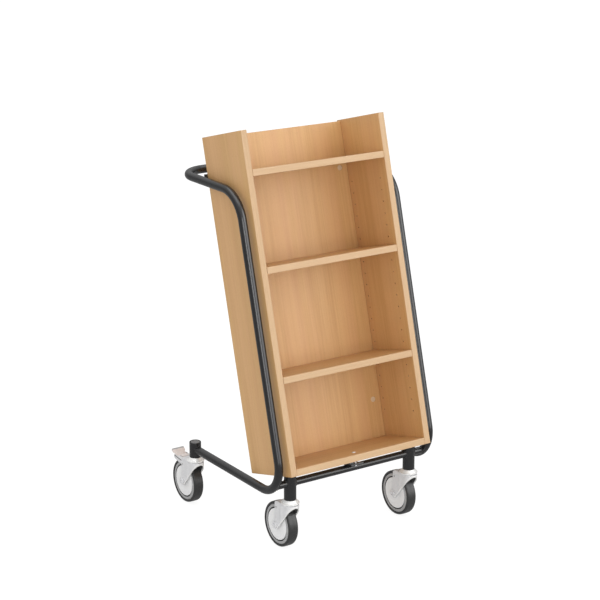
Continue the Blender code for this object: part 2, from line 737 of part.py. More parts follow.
def build_swivel_head(name, swivel):
    """The stem in the post and the cup under it: both stay with the frame."""
    kingpin = KINGPIN_DIAMETER / 2
    shank = POST_BORE - GAP
    rivet_top = CROWN_BOTTOM - GAP
    stem_profile = [
        (0.0, STEM_TOP),
        (shank, STEM_TOP),
        (shank, POST_FOOT),
        (kingpin, POST_FOOT),
        (kingpin, rivet_top),
        (RIVET_DIAMETER / 2, rivet_top),
        (kingpin, rivet_top - RIVET_HEIGHT),
        (0.0, rivet_top - RIVET_HEIGHT),
    ]
    stem = part(f"{name}_stem", profile_mesh(f"{name}_stem", stem_profile), ZINC, swivel)
    turn(stem, ROUND_SIDES)
    bore = kingpin + GAP
    cup_radius = CUP_DIAMETER / 2
    top_radius = CUP_TOP_DIAMETER / 2
    cup_profile = [
        (bore, CUP_TOP),
        (top_radius, CUP_TOP),
        (cup_radius, CUP_BOTTOM + CUP_LIP),
        (cup_radius, CUP_BOTTOM),
        (bore, CUP_BOTTOM),
    ]
    cup = part(f"{name}_cup", profile_mesh(f"{name}_cup", cup_profile), BRIGHT_ZINC, swivel)
    turn(cup, ROUND_SIDES)


def leg_profile():
    """Side view of a fork leg: distance behind the swivel axis and height above the floor."""
    top = CROWN_BOTTOM + DECK_THICKNESS / 2
    front_normal = FORK_FRONT_SLOPE + math.pi / 2
    rear_angle = math.acos((FORK_REAR_EDGE - WHEEL_TRAIL) / FORK_BOSS)
    axle = (WHEEL_TRAIL, AXLE_HEIGHT)
    boss = arc(axle, FORK_BOSS, rear_angle, front_normal - 2 * math.pi, BOSS_STEPS)
    tangent = boss[-1]
    front_top = tangent[0] + (top - tangent[1]) / math.tan(FORK_FRONT_SLOPE)
    return [(front_top, top), (FORK_REAR_EDGE, top)] + boss


def fork_plan():
    """Top view of the bent fork sheet: two legs joined by a round front."""
    centre = (0.0, FORK_FRONT_CENTRE)
    inner = FORK_GAP / 2
    rear = WHEEL_TRAIL + FORK_BOSS + PAST
    outside = arc(centre, FORK_HALF, 0.0, -math.pi, FRONT_WALL_STEPS)
    inside = arc(centre, inner, -math.pi, 0.0, FRONT_WALL_STEPS)
    return [(FORK_HALF, rear)] + outside + [(-FORK_HALF, rear), (-inner, rear)] + inside + [(inner, rear)]


def build_fork(name, swivel):
    fork_name = f"{name}_fork"
    sheet = outline_mesh(fork_name, fork_plan(), 2 * CROWN_TOP)
    fork = part(fork_name, sheet, ZINC, swivel)
    side_view = (math.pi / 2, 0.0, math.pi / 2)
    legs = outline_mesh(f"{name}_leg_view", leg_profile(), 2 * FORK_HALF + 2 * PAST)
    combine(fork, helper(f"{name}_leg_view", legs, swivel, (0, 0, 0), side_view), "INTERSECT")
    crown_radius = CROWN_DIAMETER / 2
    crown_profile = [
        (0.0, CROWN_TOP),
        (crown_radius - CROWN_ROUND, CROWN_TOP),
        (crown_radius, CROWN_TOP - CROWN_ROUND),
        (crown_radius, CROWN_BOTTOM),
        (0.0, CROWN_BOTTOM),
    ]
    crown = helper(f"{name}_crown", profile_mesh(f"{name}_crown", crown_profile), swivel)
    turn(crown, ROUND_SIDES)
    combine(fork, crown, "UNION")
    front = arc((0.0, FORK_FRONT_CENTRE), FORK_HALF, 0.0, -math.pi, FRONT_WALL_STEPS)
    deck_plan = [(FORK_HALF, FORK_REAR_EDGE)] + front + [(-FORK_HALF, FORK_REAR_EDGE)]
    deck = outline_mesh(f"{name}_deck", deck_plan, DECK_THICKNESS)
    deck_middle = (0.0, 0.0, CROWN_BOTTOM + DECK_THICKNESS / 2)
    combine(fork, helper(f"{name}_deck", deck, swivel, deck_middle), "UNION")
    bores = [
        (
            (0.0, 0.0, CROWN_BOTTOM - PAST),
            (0.0, 0.0, CROWN_TOP + PAST),
            KINGPIN_DIAMETER + 2 * GAP,
            ROUND_SIDES,
        ),
        (
            (-FORK_HALF - PAST, WHEEL_TRAIL, AXLE_HEIGHT),
            (FORK_HALF + PAST, WHEEL_TRAIL, AXLE_HEIGHT),
            AXLE_DIAMETER + 2 * GAP,
            PIN_SIDES,
        ),
    ]
    combine(fork, helper(f"{name}_bores", rod_mesh(f"{name}_bores", bores), swivel), "DIFFERENCE")


def build_axle(name, axle_line):
    """The axle bolt, clamped between its head and its nut outside the fork legs."""
    seat = FORK_HALF + GAP
    reach = seat + AXLE_HEX_HEIGHT / 2
    outside = seat + AXLE_HEX_HEIGHT
    axle_name = f"{name}_axle"
    shank = rod_mesh(axle_name, [((-reach, 0.0, 0.0), (reach, 0.0, 0.0), AXLE_DIAMETER, PIN_SIDES)])
    axle = part(axle_name, shank, ZINC, axle_line)
    ends = [
        ((-outside, 0.0, 0.0), (-seat, 0.0, 0.0), AXLE_HEX, HEX_SIDES),
        ((seat, 0.0, 0.0), (outside, 0.0, 0.0), AXLE_HEX, HEX_SIDES),
    ]
    combine(axle, helper(f"{name}_axle_ends", rod_mesh(f"{name}_axle_ends", ends), axle_line), "UNION")


def build_wheel(name, axle_line):
    """Wheel centre, two side discs and tyre, with a flat of the tyre on the floor."""
    along_x = (0.0, math.pi / 2, 0.0)
    phase = math.pi / WHEEL_SIDES
    corner = 1.0 / math.cos(phase)
    bore = (AXLE_DIAMETER / 2 + GAP) * corner
    boss = BOSS_DIAMETER / 2
    boss_half = FORK_GAP / 2 - BOSS_PLAY
    rim = HUB_DIAMETER / 2
    recess = RECESS_DIAMETER / 2
    rim_half = TYRE_WIDTH / 2 - HUB_INSET
    web_half = WEB_THICKNESS / 2
    hub_top = [
        (bore, boss_half),
        (boss, boss_half),
        (boss, web_half),
        (recess, web_half),
        (recess, rim_half),
        (rim, rim_half),
    ]
    hub_bottom = [(radius, -height) for radius, height in reversed(hub_top)]
    hub_mesh = profile_mesh(f"{name}_hub", hub_top + hub_bottom, phase)
    hub = part(f"{name}_hub", hub_mesh, GREY_PLASTIC, axle_line, (0, 0, 0), along_x)
    turn(hub, WHEEL_SIDES)

    disc_low = web_half + GAP
    disc_high = disc_low + GUARD_THICKNESS
    disc_profile = ring_profile(boss + GAP * corner, GUARD_DIAMETER / 2, disc_low, disc_high)
    for side_name, side in SIDES.items():
        disc_name = f"{name}_{side_name}_disc"
        facing = (0.0, side * math.pi / 2, 0.0)
        disc_mesh = profile_mesh(disc_name, disc_profile, phase)
        disc = part(disc_name, disc_mesh, PALE_PLASTIC, axle_line, (0, 0, 0), facing)
        turn(disc, WHEEL_SIDES)

    outer = AXLE_HEIGHT * corner
    half = TYRE_WIDTH / 2
    shoulder = (outer - TYRE_SHOULDER, half - TYRE_SHOULDER)
    rounded = arc(shoulder, TYRE_SHOULDER, math.pi / 2, 0.0, SHOULDER_STEPS)
    tyre_top = [(rim + GAP * corner, half)] + rounded
    tyre_bottom = [(radius, -height) for radius, height in reversed(tyre_top)]
    tyre_mesh = profile_mesh(f"{name}_tyre", tyre_top + tyre_bottom, phase)
    tyre = part(f"{name}_tyre", tyre_mesh, GREY_RUBBER, axle_line, (0, 0, 0), along_x)
    turn(tyre, WHEEL_SIDES)


def build_brake_bracket(name, swivel):
    """Housing over the wheel behind the fork, with the pedal's pin and a button on top."""
    inner = FORK_GAP / 2
    low = BRAKE_TOP - BRAKE_SIDE_DROP
    section = [
        (-FORK_HALF, low),
        (-FORK_HALF, BRAKE_TOP),
        (FORK_HALF, BRAKE_TOP),
        (FORK_HALF, low),
        (inner, low),
        (inner, CROWN_BOTTOM),
        (-inner, CROWN_BOTTOM),
        (-inner, low),
    ]
    bracket_name = f"{name}_brake_bracket"
    mesh = outline_mesh(bracket_name, section, BRAKE_REACH - BRAKE_FRONT)
    middle = (0.0, (BRAKE_FRONT + BRAKE_REACH) / 2, 0.0)
    bracket = part(bracket_name, mesh, ZINC, swivel, middle, (math.pi / 2, 0.0, 0.0))
    opening = ((-inner, BRAKE_OPEN_FROM, low), (inner, BRAKE_REACH + PAST, BRAKE_TOP + PAST))
    saw = box_mesh(f"{name}_brake_saw", [opening])
    combine(bracket, helper(f"{name}_brake_saw", saw, swivel), "DIFFERENCE")
    pin_end = FORK_HALF + PEDAL_PIN_END
    rods = [
        (
            (-pin_end, PEDAL_PIVOT_SETBACK, PEDAL_PIVOT_Z),
            (pin_end, PEDAL_PIVOT_SETBACK, PEDAL_PIVOT_Z),
            PEDAL_PIN_DIAMETER,
            PIN_SIDES,
        ),
        (
            (0.0, BUTTON_SETBACK, BRAKE_TOP - BRAKE_SHEET / 2),
            (0.0, BUTTON_SETBACK, BRAKE_TOP + BUTTON_HEIGHT),
            BUTTON_DIAMETER,
            ROUND_SIDES,
        ),
    ]
    combine(bracket, helper(f"{name}_brake_rods", rod_mesh(f"{name}_brake_rods", rods), swivel), "UNION")


def build_brake_pedal(name, swivel):
    """Foot pedal on the bracket's pin, raised while the wheel is free."""
    pivot = empty(f"{name}_pedal_pivot", (0.0, PEDAL_PIVOT_SETBACK, PEDAL_PIVOT_Z), swivel)
    half = FORK_GAP / 2 - 2 * GAP
    barrel = rod_mesh(
        f"{name}_brake_pedal",
        [((-half, 0.0, 0.0), (half, 0.0, 0.0), PEDAL_BARREL, PIN_SIDES)],
    )
    pedal = part(f"{name}_brake_pedal", barrel, PEDAL_PLASTIC, pivot)
    arm = PEDAL_ARM_WIDTH / 2
    lip = PEDAL_LIP_WIDTH / 2
    full_width_from = PEDAL_LIP_START + lip - arm
    right_half = [(arm, 0.0), (arm, PEDAL_LIP_START), (lip, full_width_from), (lip, PEDAL_LENGTH)]
    left_half = [(-across, along) for across, along in reversed(right_half)]
    plate = outline_mesh(f"{name}_pedal_plate", right_half + left_half, PEDAL_SHEET)
    tilt = (PEDAL_ANGLE, 0.0, 0.0)
    combine(pedal, helper(f"{name}_pedal_plate", plate, pivot, (0, 0, 0), tilt), "UNION")
    bore = rod_mesh(
        f"{name}_pedal_bore",
        [((-FORK_HALF, 0.0, 0.0), (FORK_HALF, 0.0, 0.0), PEDAL_PIN_DIAMETER + 2 * GAP, PIN_SIDES)],
    )
    combine(pedal, helper(f"{name}_pedal_bore", bore, pivot), "DIFFERENCE")


def build_casters():
    spreads = {"front": FRONT_POST_SPREAD, "rear": TUBE_X}
    rows = {"front": FRONT_POST_Y, "rear": REAR_POST_Y}
    for row_name, row_y in rows.items():
        for side_name, side in SIDES.items():
            name = f"{row_name}_{side_name}"
            swivel = empty(f"{name}_swivel", (side * spreads[row_name], row_y, 0.0))
            axle_line = empty(f"{name}_axle_line", (0.0, WHEEL_TRAIL, AXLE_HEIGHT), swivel)
            build_swivel_head(name, swivel)
            build_fork(name, swivel)
            build_axle(name, axle_line)
            build_wheel(name, axle_line)
            if row_name == "rear":
                build_brake_bracket(name, swivel)
                build_brake_pedal(name, swivel)


def drill_bottom_shelf(shelf):
    """The hole for the centre bolt."""
    mouth = (0.0, CENTRE_BOLT_SETBACK, -PAST)
    end = (0.0, CENTRE_BOLT_SETBACK, BOARD + PAST)
    hole = rod_mesh("shelf_drill", [(mouth, end, CENTRE_BOLT_DIAMETER + 2 * GAP, HOLE_SIDES)])
    combine(shelf, helper("shelf_drill", hole, case_lean), "DIFFERENCE")


def build_case():
    build_back_panel()
    for name, height in FIXED_HEIGHTS.items():
        shelf = build_fixed_shelf(name, height)
        if name == "bottom_shelf":
            drill_bottom_shelf(shelf)
    for name, height in ADJUSTABLE_HEIGHTS.items():
        build_adjustable_shelf(name, height)
    for side_name, side in SIDES.items():
        build_side_panel(f"{side_name}_side_panel", side)
        for name, height in ADJUSTABLE_HEIGHTS.items():
            build_shelf_wire(f"{name}_{side_name}_wire", side, height)
        for level, height in CAM_HEIGHTS.items():
            build_cam_lock(f"{level}_{side_name}_cam_lock", side, height)


def build_frame():
    build_frame_tube()
    build_crossbar()
    build_front_posts()
    build_rear_posts()
    build_centre_bolt()
    for side_name, side in SIDES.items():
        build_lug_screw(f"{side_name}_lug_screw", side)


clear_scene()
trolley = new_collection("book_trolley")
cutters = new_collection("cutters")
case_lean = empty("case_lean", (0.0, FRONT_Y, CASE_FRONT_Z), None, (-LEAN, 0.0, 0.0))
build_case()
build_frame()
build_casters()
shade_pieces()
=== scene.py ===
"""Looks of the book trolley: beech boards, black coated tube, zinc casters, and the studio round them.

Metres, +Z up, front of the case towards -Y, floor at z = 0.
"""
import json
import math

import bmesh
import bpy
from mathutils import Matrix, Vector

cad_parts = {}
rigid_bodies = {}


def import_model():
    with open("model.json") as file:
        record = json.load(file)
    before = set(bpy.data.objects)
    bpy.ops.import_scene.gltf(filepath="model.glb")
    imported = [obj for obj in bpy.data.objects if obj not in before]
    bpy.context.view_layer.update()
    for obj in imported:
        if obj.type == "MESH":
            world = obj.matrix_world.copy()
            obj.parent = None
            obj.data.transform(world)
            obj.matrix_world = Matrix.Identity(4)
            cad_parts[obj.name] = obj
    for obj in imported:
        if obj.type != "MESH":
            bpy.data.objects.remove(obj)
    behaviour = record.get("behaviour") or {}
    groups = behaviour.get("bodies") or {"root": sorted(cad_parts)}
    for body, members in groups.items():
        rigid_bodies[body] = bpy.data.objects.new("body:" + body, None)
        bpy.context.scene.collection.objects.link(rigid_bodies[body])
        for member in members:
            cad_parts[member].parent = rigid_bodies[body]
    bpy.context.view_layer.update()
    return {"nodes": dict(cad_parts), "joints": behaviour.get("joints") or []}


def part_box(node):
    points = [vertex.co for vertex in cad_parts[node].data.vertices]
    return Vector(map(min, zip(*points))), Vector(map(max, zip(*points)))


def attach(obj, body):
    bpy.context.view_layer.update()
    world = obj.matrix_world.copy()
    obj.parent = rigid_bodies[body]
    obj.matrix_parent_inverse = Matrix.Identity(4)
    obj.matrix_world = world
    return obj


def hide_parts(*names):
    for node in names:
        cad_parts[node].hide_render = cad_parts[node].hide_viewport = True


for left_over in list(bpy.data.objects):
    bpy.data.objects.remove(left_over, do_unlink=True)
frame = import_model()
JOINTS = {joint["name"]: joint for joint in frame["joints"]}

SIDES = {"left": -1, "right": 1}
CASTERS = ("front_left", "front_right", "rear_left", "rear_right")
BRAKED = ("rear_left", "rear_right")

# The case leans back by the angle at which its shelves slide out
SLIDE_AXIS = Vector(JOINTS["upper_shelf_slide"]["axis"])
LEAN = math.atan2(SLIDE_AXIS.z, -SLIDE_AXIS.y)
CASE_TURN = Matrix.Rotation(-LEAN, 4, "X")
ACROSS = 0
UP = 2

# Boards and what is drilled into them
EDGE_ROUND = 0.0010
EDGE_STEPS = 3
ROW_PITCH = 0.032
ROW_COUNT = 21
ROW_FIRST = 0.0912
ROW_FRONT = 0.033
ROW_REAR = 0.1684
ROW_HOLE_RADIUS = 0.00195
ROW_HOLE_DEPTH = 0.011
ROW_HOLE_SIDES = 20
CAM_RADIUS = 0.0075
CAM_POCKET_ROOM = 0.0002
CAM_POCKET_DEPTH = 0.004
CAM_SINK = 0.0002
CAM_SLOT_LENGTH = 0.0086
CAM_SLOT_WIDTH = 0.0016
CAM_SLOT_DEPTH = 0.0014
CAM_CHAMFER = 0.0005
CAM_SIDES = 48
KERF_HEIGHT = 0.0036
KERF_DEPTH = 0.00575
KERF_FRONT_STOP = 0.022
WIRE_BEND = 0.0035
WIRE_BEND_STEPS = 8
WIRE_SIDES = 16
DRILL_PAST = 0.002

# Where each board's decor starts on the printed sheet
PANEL_GRAIN = 2.0
BACK_GRAIN = 7.0
SHELF_GRAIN = 11.0
SHELF_GRAIN_STEP = 1.3
FACE_GRAIN_STEP = 0.5

# Bent tube, posts and crossbar
TUBE_RADIUS = 0.0115
TUBE_SIDES = 48
BEND_STEPS = 28
CORNER_Y = -0.27305
HANDLE_Y = 0.23725
HANDLE_HEIGHT = 0.946
BASE_BEND = 0.078
SHOULDER_BEND = 0.095
HANDLE_BEND = 0.071
RAIL_INTO_POST = 0.06
POST_SIDES = 64
POST_BORE = 0.0142
POST_FOOT_CHAMFER = 0.0008
POST_SEAT_GAP = 0.0003
POST_TOP_ROUND = 0.0018
STEM_ROOM = 0.032
CAP_SINK = 0.0006
CAP_INSET = 0.0042
CAP_GROOVE_INSET = 0.0038
CAP_GROOVE_DEEP = 0.0014
CAP_RIM_INSET = 0.0034
CAP_REFLECTION_DEEP = 0.0020
CAP_REFLECTION_INSET = 0.0041
CROSSBAR_RADIUS = 0.010
CROSSBAR_SIDES = 40
TAB_HALF = 0.020
TAB_FRONT = 0.028
TAB_PLATE = 0.004
TAB_INTO_BAR = 0.001
SPACER_WIDTH = 0.016
SPACER_FRONT = 0.0375
SPACER_INSET = 0.001
SPACER_REAR = 0.002
SPACER_INTO_TAB = 0.0005
LUG_PLATE = 0.004
LUG_INTO_TUBE = 0.001
LUG_HALF_HEIGHT = 0.015
LUG_HALF_REACH = 0.025
LUG_CORNER = 0.007
PLATE_ROUND = 0.0006
WELD_BEAD = 0.0017
WELD_PITCH = 0.0021
BEAD_SEGMENTS = 8
BEAD_RINGS = 5
BEAD_LEAST = (0.85, 0.85, 0.75)
BEAD_MOST = (1.10, 1.10, 0.95)
SEAM_STEPS = 48

# Screws and bolts
CROSS_LENGTH = 0.0052
CROSS_WIDTH = 0.0012
CROSS_DEPTH = 0.0016
SOCKET_RADIUS = 0.0019
SOCKET_DEPTH = 0.0011
SCREW_HEAD = 0.003
SCREW_ROUND = 0.0026
SCREW_SHANK = 0.00225
SCREW_POINT = 0.003
BOLT_HEAD = 0.0015
BOLT_ROUND = 0.0014
BOLT_SHANK = 0.0025
SCREW_SIDES = 40
HEXAGON = 6

# Wheels, in places from the axle and from the middle of the wheel
WHEEL_SIDES = 112
TYRE_RADIUS = 0.0625
TYRE_HALF = 0.015
TYRE_SHOULDER = 0.0052
TYRE_CROWN = 0.0005
TYRE_ROOM = 0.0003
TYRE_FOOT_SLOPE = 0.0012
TYRE_FOOT_EDGE = 0.0014
TYRE_FOOT_ROUND = 0.0008
TREAD_FLAT_HALF = 0.0022
MOULD_LINE_HALF = 0.0004
MOULD_LINE_DEEP = 0.00025
MOULD_LINE_FLOOR = 0.0001
RIM_RADIUS = 0.055
RIM_HALF = 0.0135
RIM_LIP_ROUND = 0.0011
RIM_EDGE = 0.0012
RIM_EDGE_DROP = 0.0006
RIM_EDGE_ROUND = 0.0006
RIM_SIDE_DROP = 0.0020
RECESS_RADIUS = 0.0464
RECESS_SLOPE = 0.0004
GAP_LIP = 0.0008
WEB_HALF = 0.009
WEB_ROUND = 0.0010
HUB_BOSS = 0.010
HUB_BOSS_HALF = 0.0165
HUB_BOSS_ROUND = 0.0008
HUB_ARC_STEPS = 5
AXLE_BORE = 0.0053
DISC_RADIUS = 0.0434
DISC_FACE = 0.0138
DISC_ROOM = 0.0003
DISC_DISH = 0.0009
DISH_FROM = 0.021
DISH_TO = 0.031
DISH_ROUND = 0.012
DISC_EDGE = 0.0005
DISC_EDGE_DROP = 0.0012
DISC_EDGE_ROUND = 0.0006

# Axles
AXLE_RADIUS = 0.005
AXLE_SIDES = 32
AXLE_SEAT_ROOM = 0.0003
AXLE_INTO_HEAD = 0.001
HEX_RADIUS = 0.00925
HEX_HEIGHT = 0.0035
HEX_ROUND = 0.0006
HEX_INTO_FLANGE = 0.0002
FLANGE_RADIUS = 0.0102
FLANGE_HEIGHT = 0.0008
FLANGE_ROUND = 0.0003
FLANGE_SIDES = 48
AXLE_DIMPLE = 0.0044
AXLE_DIMPLE_DEPTH = 0.0033

# Forks and swivel heads, in places from the swivel axis: across, behind it, and above the floor
FORK_HALF = 0.0195
FORK_SHEET = 0.0025
FORK_FRONT_CENTRE = -0.008
FORK_BOSS = 0.0125
FORK_SLOPE = math.radians(130.4)
FORK_FRONT_ANGLE = FORK_SLOPE - 1.5 * math.pi
FORK_REAR_EDGE = 0.0455
FORK_PIN_HOLE = 0.0020
FORK_PIN_HOLE_PLACE = (0.0391, 0.1148)
FORK_PIN_HOLE_SIDES = 24
FORK_RIM = 0.0021
FORK_RIM_SIDES = 16
FORK_RIM_INSET = 0.0017
FORK_KNEE = -0.004
FORK_ARCH_TOP = (-0.0275, 0.1293)
FORK_REAR_ROUND = 0.0075
# Reach of the painted highlight along the fork's front edge
FORK_RIM_HIGHLIGHT_REACH = 0.0034
FORK_SWELL_PLACE = 0.0146
FORK_SWELL_HALF = 0.0075
FORK_SWELL_HIGH = 0.0012
FORK_SWELL_ROOT = 0.001
FORK_SWELL_LEVELS = (0.078, 0.1285)
CROWN_RADIUS = 0.0215
CROWN_LOW = 0.130
CROWN_HIGH = 0.1352
DECK_HIGH = 0.133
HEAD_SIDES = 96
KINGPIN_BORE = 0.0063
BORE_SIDES = 40
CUP_RADIUS = 0.025
CUP_TOP_RADIUS = 0.0170
CUP_TOP_ROUND = 0.0008
CUP_NECK_INSET = 0.0022
CUP_NECK_RISE = 0.0008
CUP_NECK_ROUND = 0.0012
CUP_LIP = 0.0026
CUP_LIP_ROUND = 0.0011
CUP_FOOT_ROUND = 0.0006
CUP_CLEARANCE = 0.0003

# How pressed and moulded forms get their soft corners, and the share of their faces that is kept
SOFT_VOXEL = 0.0005
SOFT_PASSES = 7
SOFT_FACTOR = 0.5
SOFT_KEPT = 0.35

# Brakes of the rear casters, in the same places, and pedals in places from their pin
BRAKE_FRONT = 0.0458
BRAKE_END = 0.086
BRAKE_LOW = 0.114
BRAKE_HIGH = 0.1295
BRAKE_END_LOW = 0.1195
BRAKE_SLOPE_FROM = 0.062
BRAKE_BELLY_ROUND = 0.010
BRAKE_END_ROUND = 0.0028
BRAKE_OPEN_FROM = 0.0695
BUTTON_PLACE = 0.059
BUTTON_RADIUS = 0.0105
BUTTON_SIDES = 64
BUTTON_HIGH = 0.133
BUTTON_RIM = 0.0022
BUTTON_DISH = 0.0007
BUTTON_ROUND = 0.0009
BUTTON_ROOT = 0.001
BUTTON_RING = 0.0014
BUTTON_RING_DEPTH = 0.0020
BRAKE_SEAM = 0.0026
BRAKE_SEAM_DEPTH = 0.0011
BRAKE_SEAM_ENDS = (0.1222, 0.1272)
PIN_RADIUS = 0.0025
PIN_HALF = 0.0205
PIN_ROUND = 0.0004
PIN_SIDES = 32
PEDAL_BARREL = 0.005
PEDAL_BARREL_SIDES = 48
PEDAL_HALF = 0.0164
PEDAL_ARM = 0.016
PEDAL_LIP = 0.0195
PEDAL_LIP_START = 0.0135
PEDAL_LENGTH = 0.030
PEDAL_SHEET = 0.004
PEDAL_ANGLE = math.radians(35.0)
PEDAL_CORNER = 0.0035
PEDAL_FLARE_ROUND = 0.0006
PEDAL_BORE = 0.0028
RIB_COUNT = 3
RIB_PITCH = 0.0032
RIB_FIRST = 0.0172
RIB_HALF = 0.0135
RIB_RADIUS = 0.0008
RIB_ROUND = 0.0005
RIB_SIDES = 12
PEDAL_BAND_FROM = 0.0252

# Shading and arcs
SHARP = math.radians(38.0)
FOLD_SHARP = math.radians(60.0)
ARC_STEPS = 8
BOSS_STEPS = 24
FRONT_STEPS = 28
FAR = 0.5

# Camera, as fitted to the photograph
CAMERA_PLACE = (-2.6827, -3.9795, 2.0272)
CAMERA_PITCH = math.radians(-16.51)
CAMERA_YAW = math.radians(33.87)
CAMERA_LENS = 110.53
CAMERA_SENSOR = 36.0
CAMERA_FAR = 200.0

# Floor and room: greys, strengths, and the levels between which one tone goes over to the next
WHITE = (1.0, 1.0, 1.0, 1.0)
FLOOR_HALF = 40.0
FLOOR_SQUARES = 8
FLOOR_CLOUD = 3.0
FLOOR_DARK = 0.78
FLOOR_LIGHT = 0.82
FLOOR_GLOW = 1.18
FLOOR_GLOW_SHARE = 0.76
FLOOR_IN_GLOSS = 0.46
ROOM_LIGHT = 0.90
ROOM_IN_GLOSS = 3.0
WALL_LOW = 0.13
WALL_HIGH = 0.30
WALL_LEVELS = (0.15, 0.60)
CEILING_LEVELS = (0.75, 0.92)
BRIGHT_WALL = 1.15
BRIGHT_WALL_WAY = (0.53, -0.80, 0.28)
BRIGHT_WALL_NEARNESS = (0.80, 0.96)

# Lamps: azimuth from the front towards the left, elevation, distance, width and power
LAMP_TARGET = Vector((0.0, 0.0, 0.55))
LAMPS = {
    "key_lamp": (-28.0, 31.0, 4.0, 2.6, 21.0),
    "fill_lamp": (29.0, 12.0, 4.5, 1.7, 54.0),
}

# Beech print, by layer: repeats along and across a metre, its own shift, detail and roughness
GRAIN_LAYERS = {
    "bands": ((0.9, 34.0, 1.0), 1.7, 2.0, 0.5),
    "streaks": ((5.0, 190.0, 1.0), 5.3, 3.0, 0.6),
    "fibres": ((26.0, 1300.0, 1.0), 9.1, 2.0, 0.5),
    "specks": ((210.0, 1900.0, 1.0), 3.9, 0.0, 0.5),
    "planks": ((0.35, 17.0, 1.0), 8.6, 1.0, 0.5),
    "glow": ((0.6, 52.0, 1.0), 4.4, 1.0, 0.5),
}
FIBRE_SHARE = 0.1
TONE_LEVELS = (0.34, 0.66)
BLUSH_SHARE = 0.45
BLUSH_LEVELS = (0.40, 0.60)
GILD_SHARE = 0.28
GILD_LEVELS = (0.46, 0.64)
FLECK_SHARE = 0.30
FLECK_LEVELS = (0.64, 0.76)
BEECH_ROUGH = 0.40
BEECH_ROUGH_STREAK = 0.07
BEECH_ROUGH_FLECK = 0.10
BEECH_GLOSS = 0.65
FIBRE_RELIEF = 0.6
STREAK_RELIEF = 0.4

# Reliefs: height in metres and strength
BEECH_RELIEF = (0.00006, 0.5)
CHIP_RELIEF = (0.0002, 1.0)
COAT_RELIEF = (0.00006, 0.25)
ZINC_RELIEF = (0.00002, 0.6)
SKIN_RELIEF_STRENGTH = 0.5

# Raw board, powder coat, zinc and mouldings: repeats in a metre, tones, roughness and shares
CHIP_SCALE = 900.0
CHIP_DARK = (0.20, 0.105, 0.045, 1.0)
CHIP_LIGHT = (0.42, 0.25, 0.12, 1.0)
CHIP_ROUGH = 0.75
CHIP_ROUGH_SPREAD = 0.2
PEEL_SCALE = 620.0
GRIT_SCALE = 2600.0
GRIT_RELIEF = 0.25
DUST_SCALE = 9.0
COAT_BLACK = (0.008, 0.008, 0.009, 1.0)
COAT_DUSTY = (0.013, 0.013, 0.014, 1.0)
COAT_ROUGH = 0.21
COAT_ROUGH_DUST = 0.06
COAT_ROUGH_GRIT = 0.04
COAT_GLOSS = 0.60
CRYSTAL_SCALE = 240.0
CRYSTAL_SHARE = 0.35
ZINC_CLOUD_SCALE = 45.0
ZINC_ROUGH_CLOUD = 0.08
ZINC_ROUGH_MARK = 0.05
MARK_REPEATS = (900.0, 900.0, 70.0)
SKIN_CLOUD_SCALE = 38.0
SKIN_SHARE = 0.3
SKIN_ROUGH = 0.06
SKIN_ROUGH_CLOUD = 0.10
PLASTIC_GLOSS = 0.4

GRAIN_SHEET = "grain"
SECOND_FINISH = 1
# Third finish: dark zinc that stands for painted shade inside the forks and in the brake seams
PAINTED_SHADE_FINISH = 2


class Value:
    """A socket that takes part in sums, each operation adding its own Math node."""

    def __init__(self, graph, socket):
        self.graph = graph
        self.socket = socket

    def other(self, output):
        """Another output of the same node."""
        return Value(self.graph, self.socket.node.outputs[output])

    def __add__(self, other):
        return self.graph.math("ADD", self, other)

    def __radd__(self, other):
        return self.graph.math("ADD", other, self)

    def __sub__(self, other):
        return self.graph.math("SUBTRACT", self, other)

    def __rsub__(self, other):
        return self.graph.math("SUBTRACT", other, self)

    def __mul__(self, other):
        return self.graph.math("MULTIPLY", self, other)

    def __rmul__(self, other):
        return self.graph.math("MULTIPLY", other, self)


class Graph:
    """Nodes of one tree, each set up first and then fed."""

    def __init__(self, tree):
        self.tree = tree

    def node(self, kind, settings=None, sockets=None, output=0):
        """Add a node and give back one of its outputs."""
        made = self.tree.nodes.new(kind)
        for name, setting in (settings or {}).items():
            setattr(made, name, setting)
        for key, value in (sockets or {}).items():
            self.feed(made.inputs[key], value)
        if made.outputs:
            return Value(self, made.outputs[output])
        return None

    def feed(self, socket, value):
        if isinstance(value, Value):
            self.tree.links.new(value.socket, socket)
        elif isinstance(value, list):
            for single in value:
                self.feed(socket, single)
        else:
            socket.default_value = value

    def math(self, operation, first, second):
        return self.node("ShaderNodeMath", {"operation": operation}, {0: first, 1: second})

    def mix(self, share, first, second):
        """A colour between two others, whose sockets come after those for numbers and vectors."""
        sockets = {0: share, 6: first, 7: second}
        return self.node("ShaderNodeMix", {"data_type": "RGBA"}, sockets, 2)

    def between(self, share, first, second):
        """A shader between two others."""
        return self.node("ShaderNodeMixShader", {}, {0: share, 1: first, 2: second})

    def glow(self, kind, strength, colour=WHITE):
        """A shader that shines, of a surface or of the world."""
        return self.node("ShaderNode" + kind, {}, {"Color": colour, "Strength": strength})

    def step(self, value, low, high):
        """A soft rise from 0 to 1 between two levels."""
        sockets = {0: value, 1: low, 2: high}
        return self.node("ShaderNodeMapRange", {"interpolation_type": "SMOOTHSTEP"}, sockets)

    def place(self, source, scale, shift=0.0):
        """Coordinates stretched by a scale for each axis and shifted along the last."""
        sockets = {"Vector": source, "Scale": scale, "Location": (0.0, 0.0, shift)}
        return self.node("ShaderNodeMapping", {}, sockets)

    def noise(self, place, scale=1.0, detail=2.0, roughness=0.5):
        sockets = {"Vector": place, "Scale": scale, "Detail": detail, "Roughness": roughness}
        return self.node("ShaderNodeTexNoise", {}, sockets)

    def bump(self, height, distance, strength=1.0):
        sockets = {"Height": height, "Distance": distance, "Strength": strength}
        return self.node("ShaderNodeBump", {}, sockets)

    def on_object(self):
        return self.node("ShaderNodeTexCoord", output="Object")


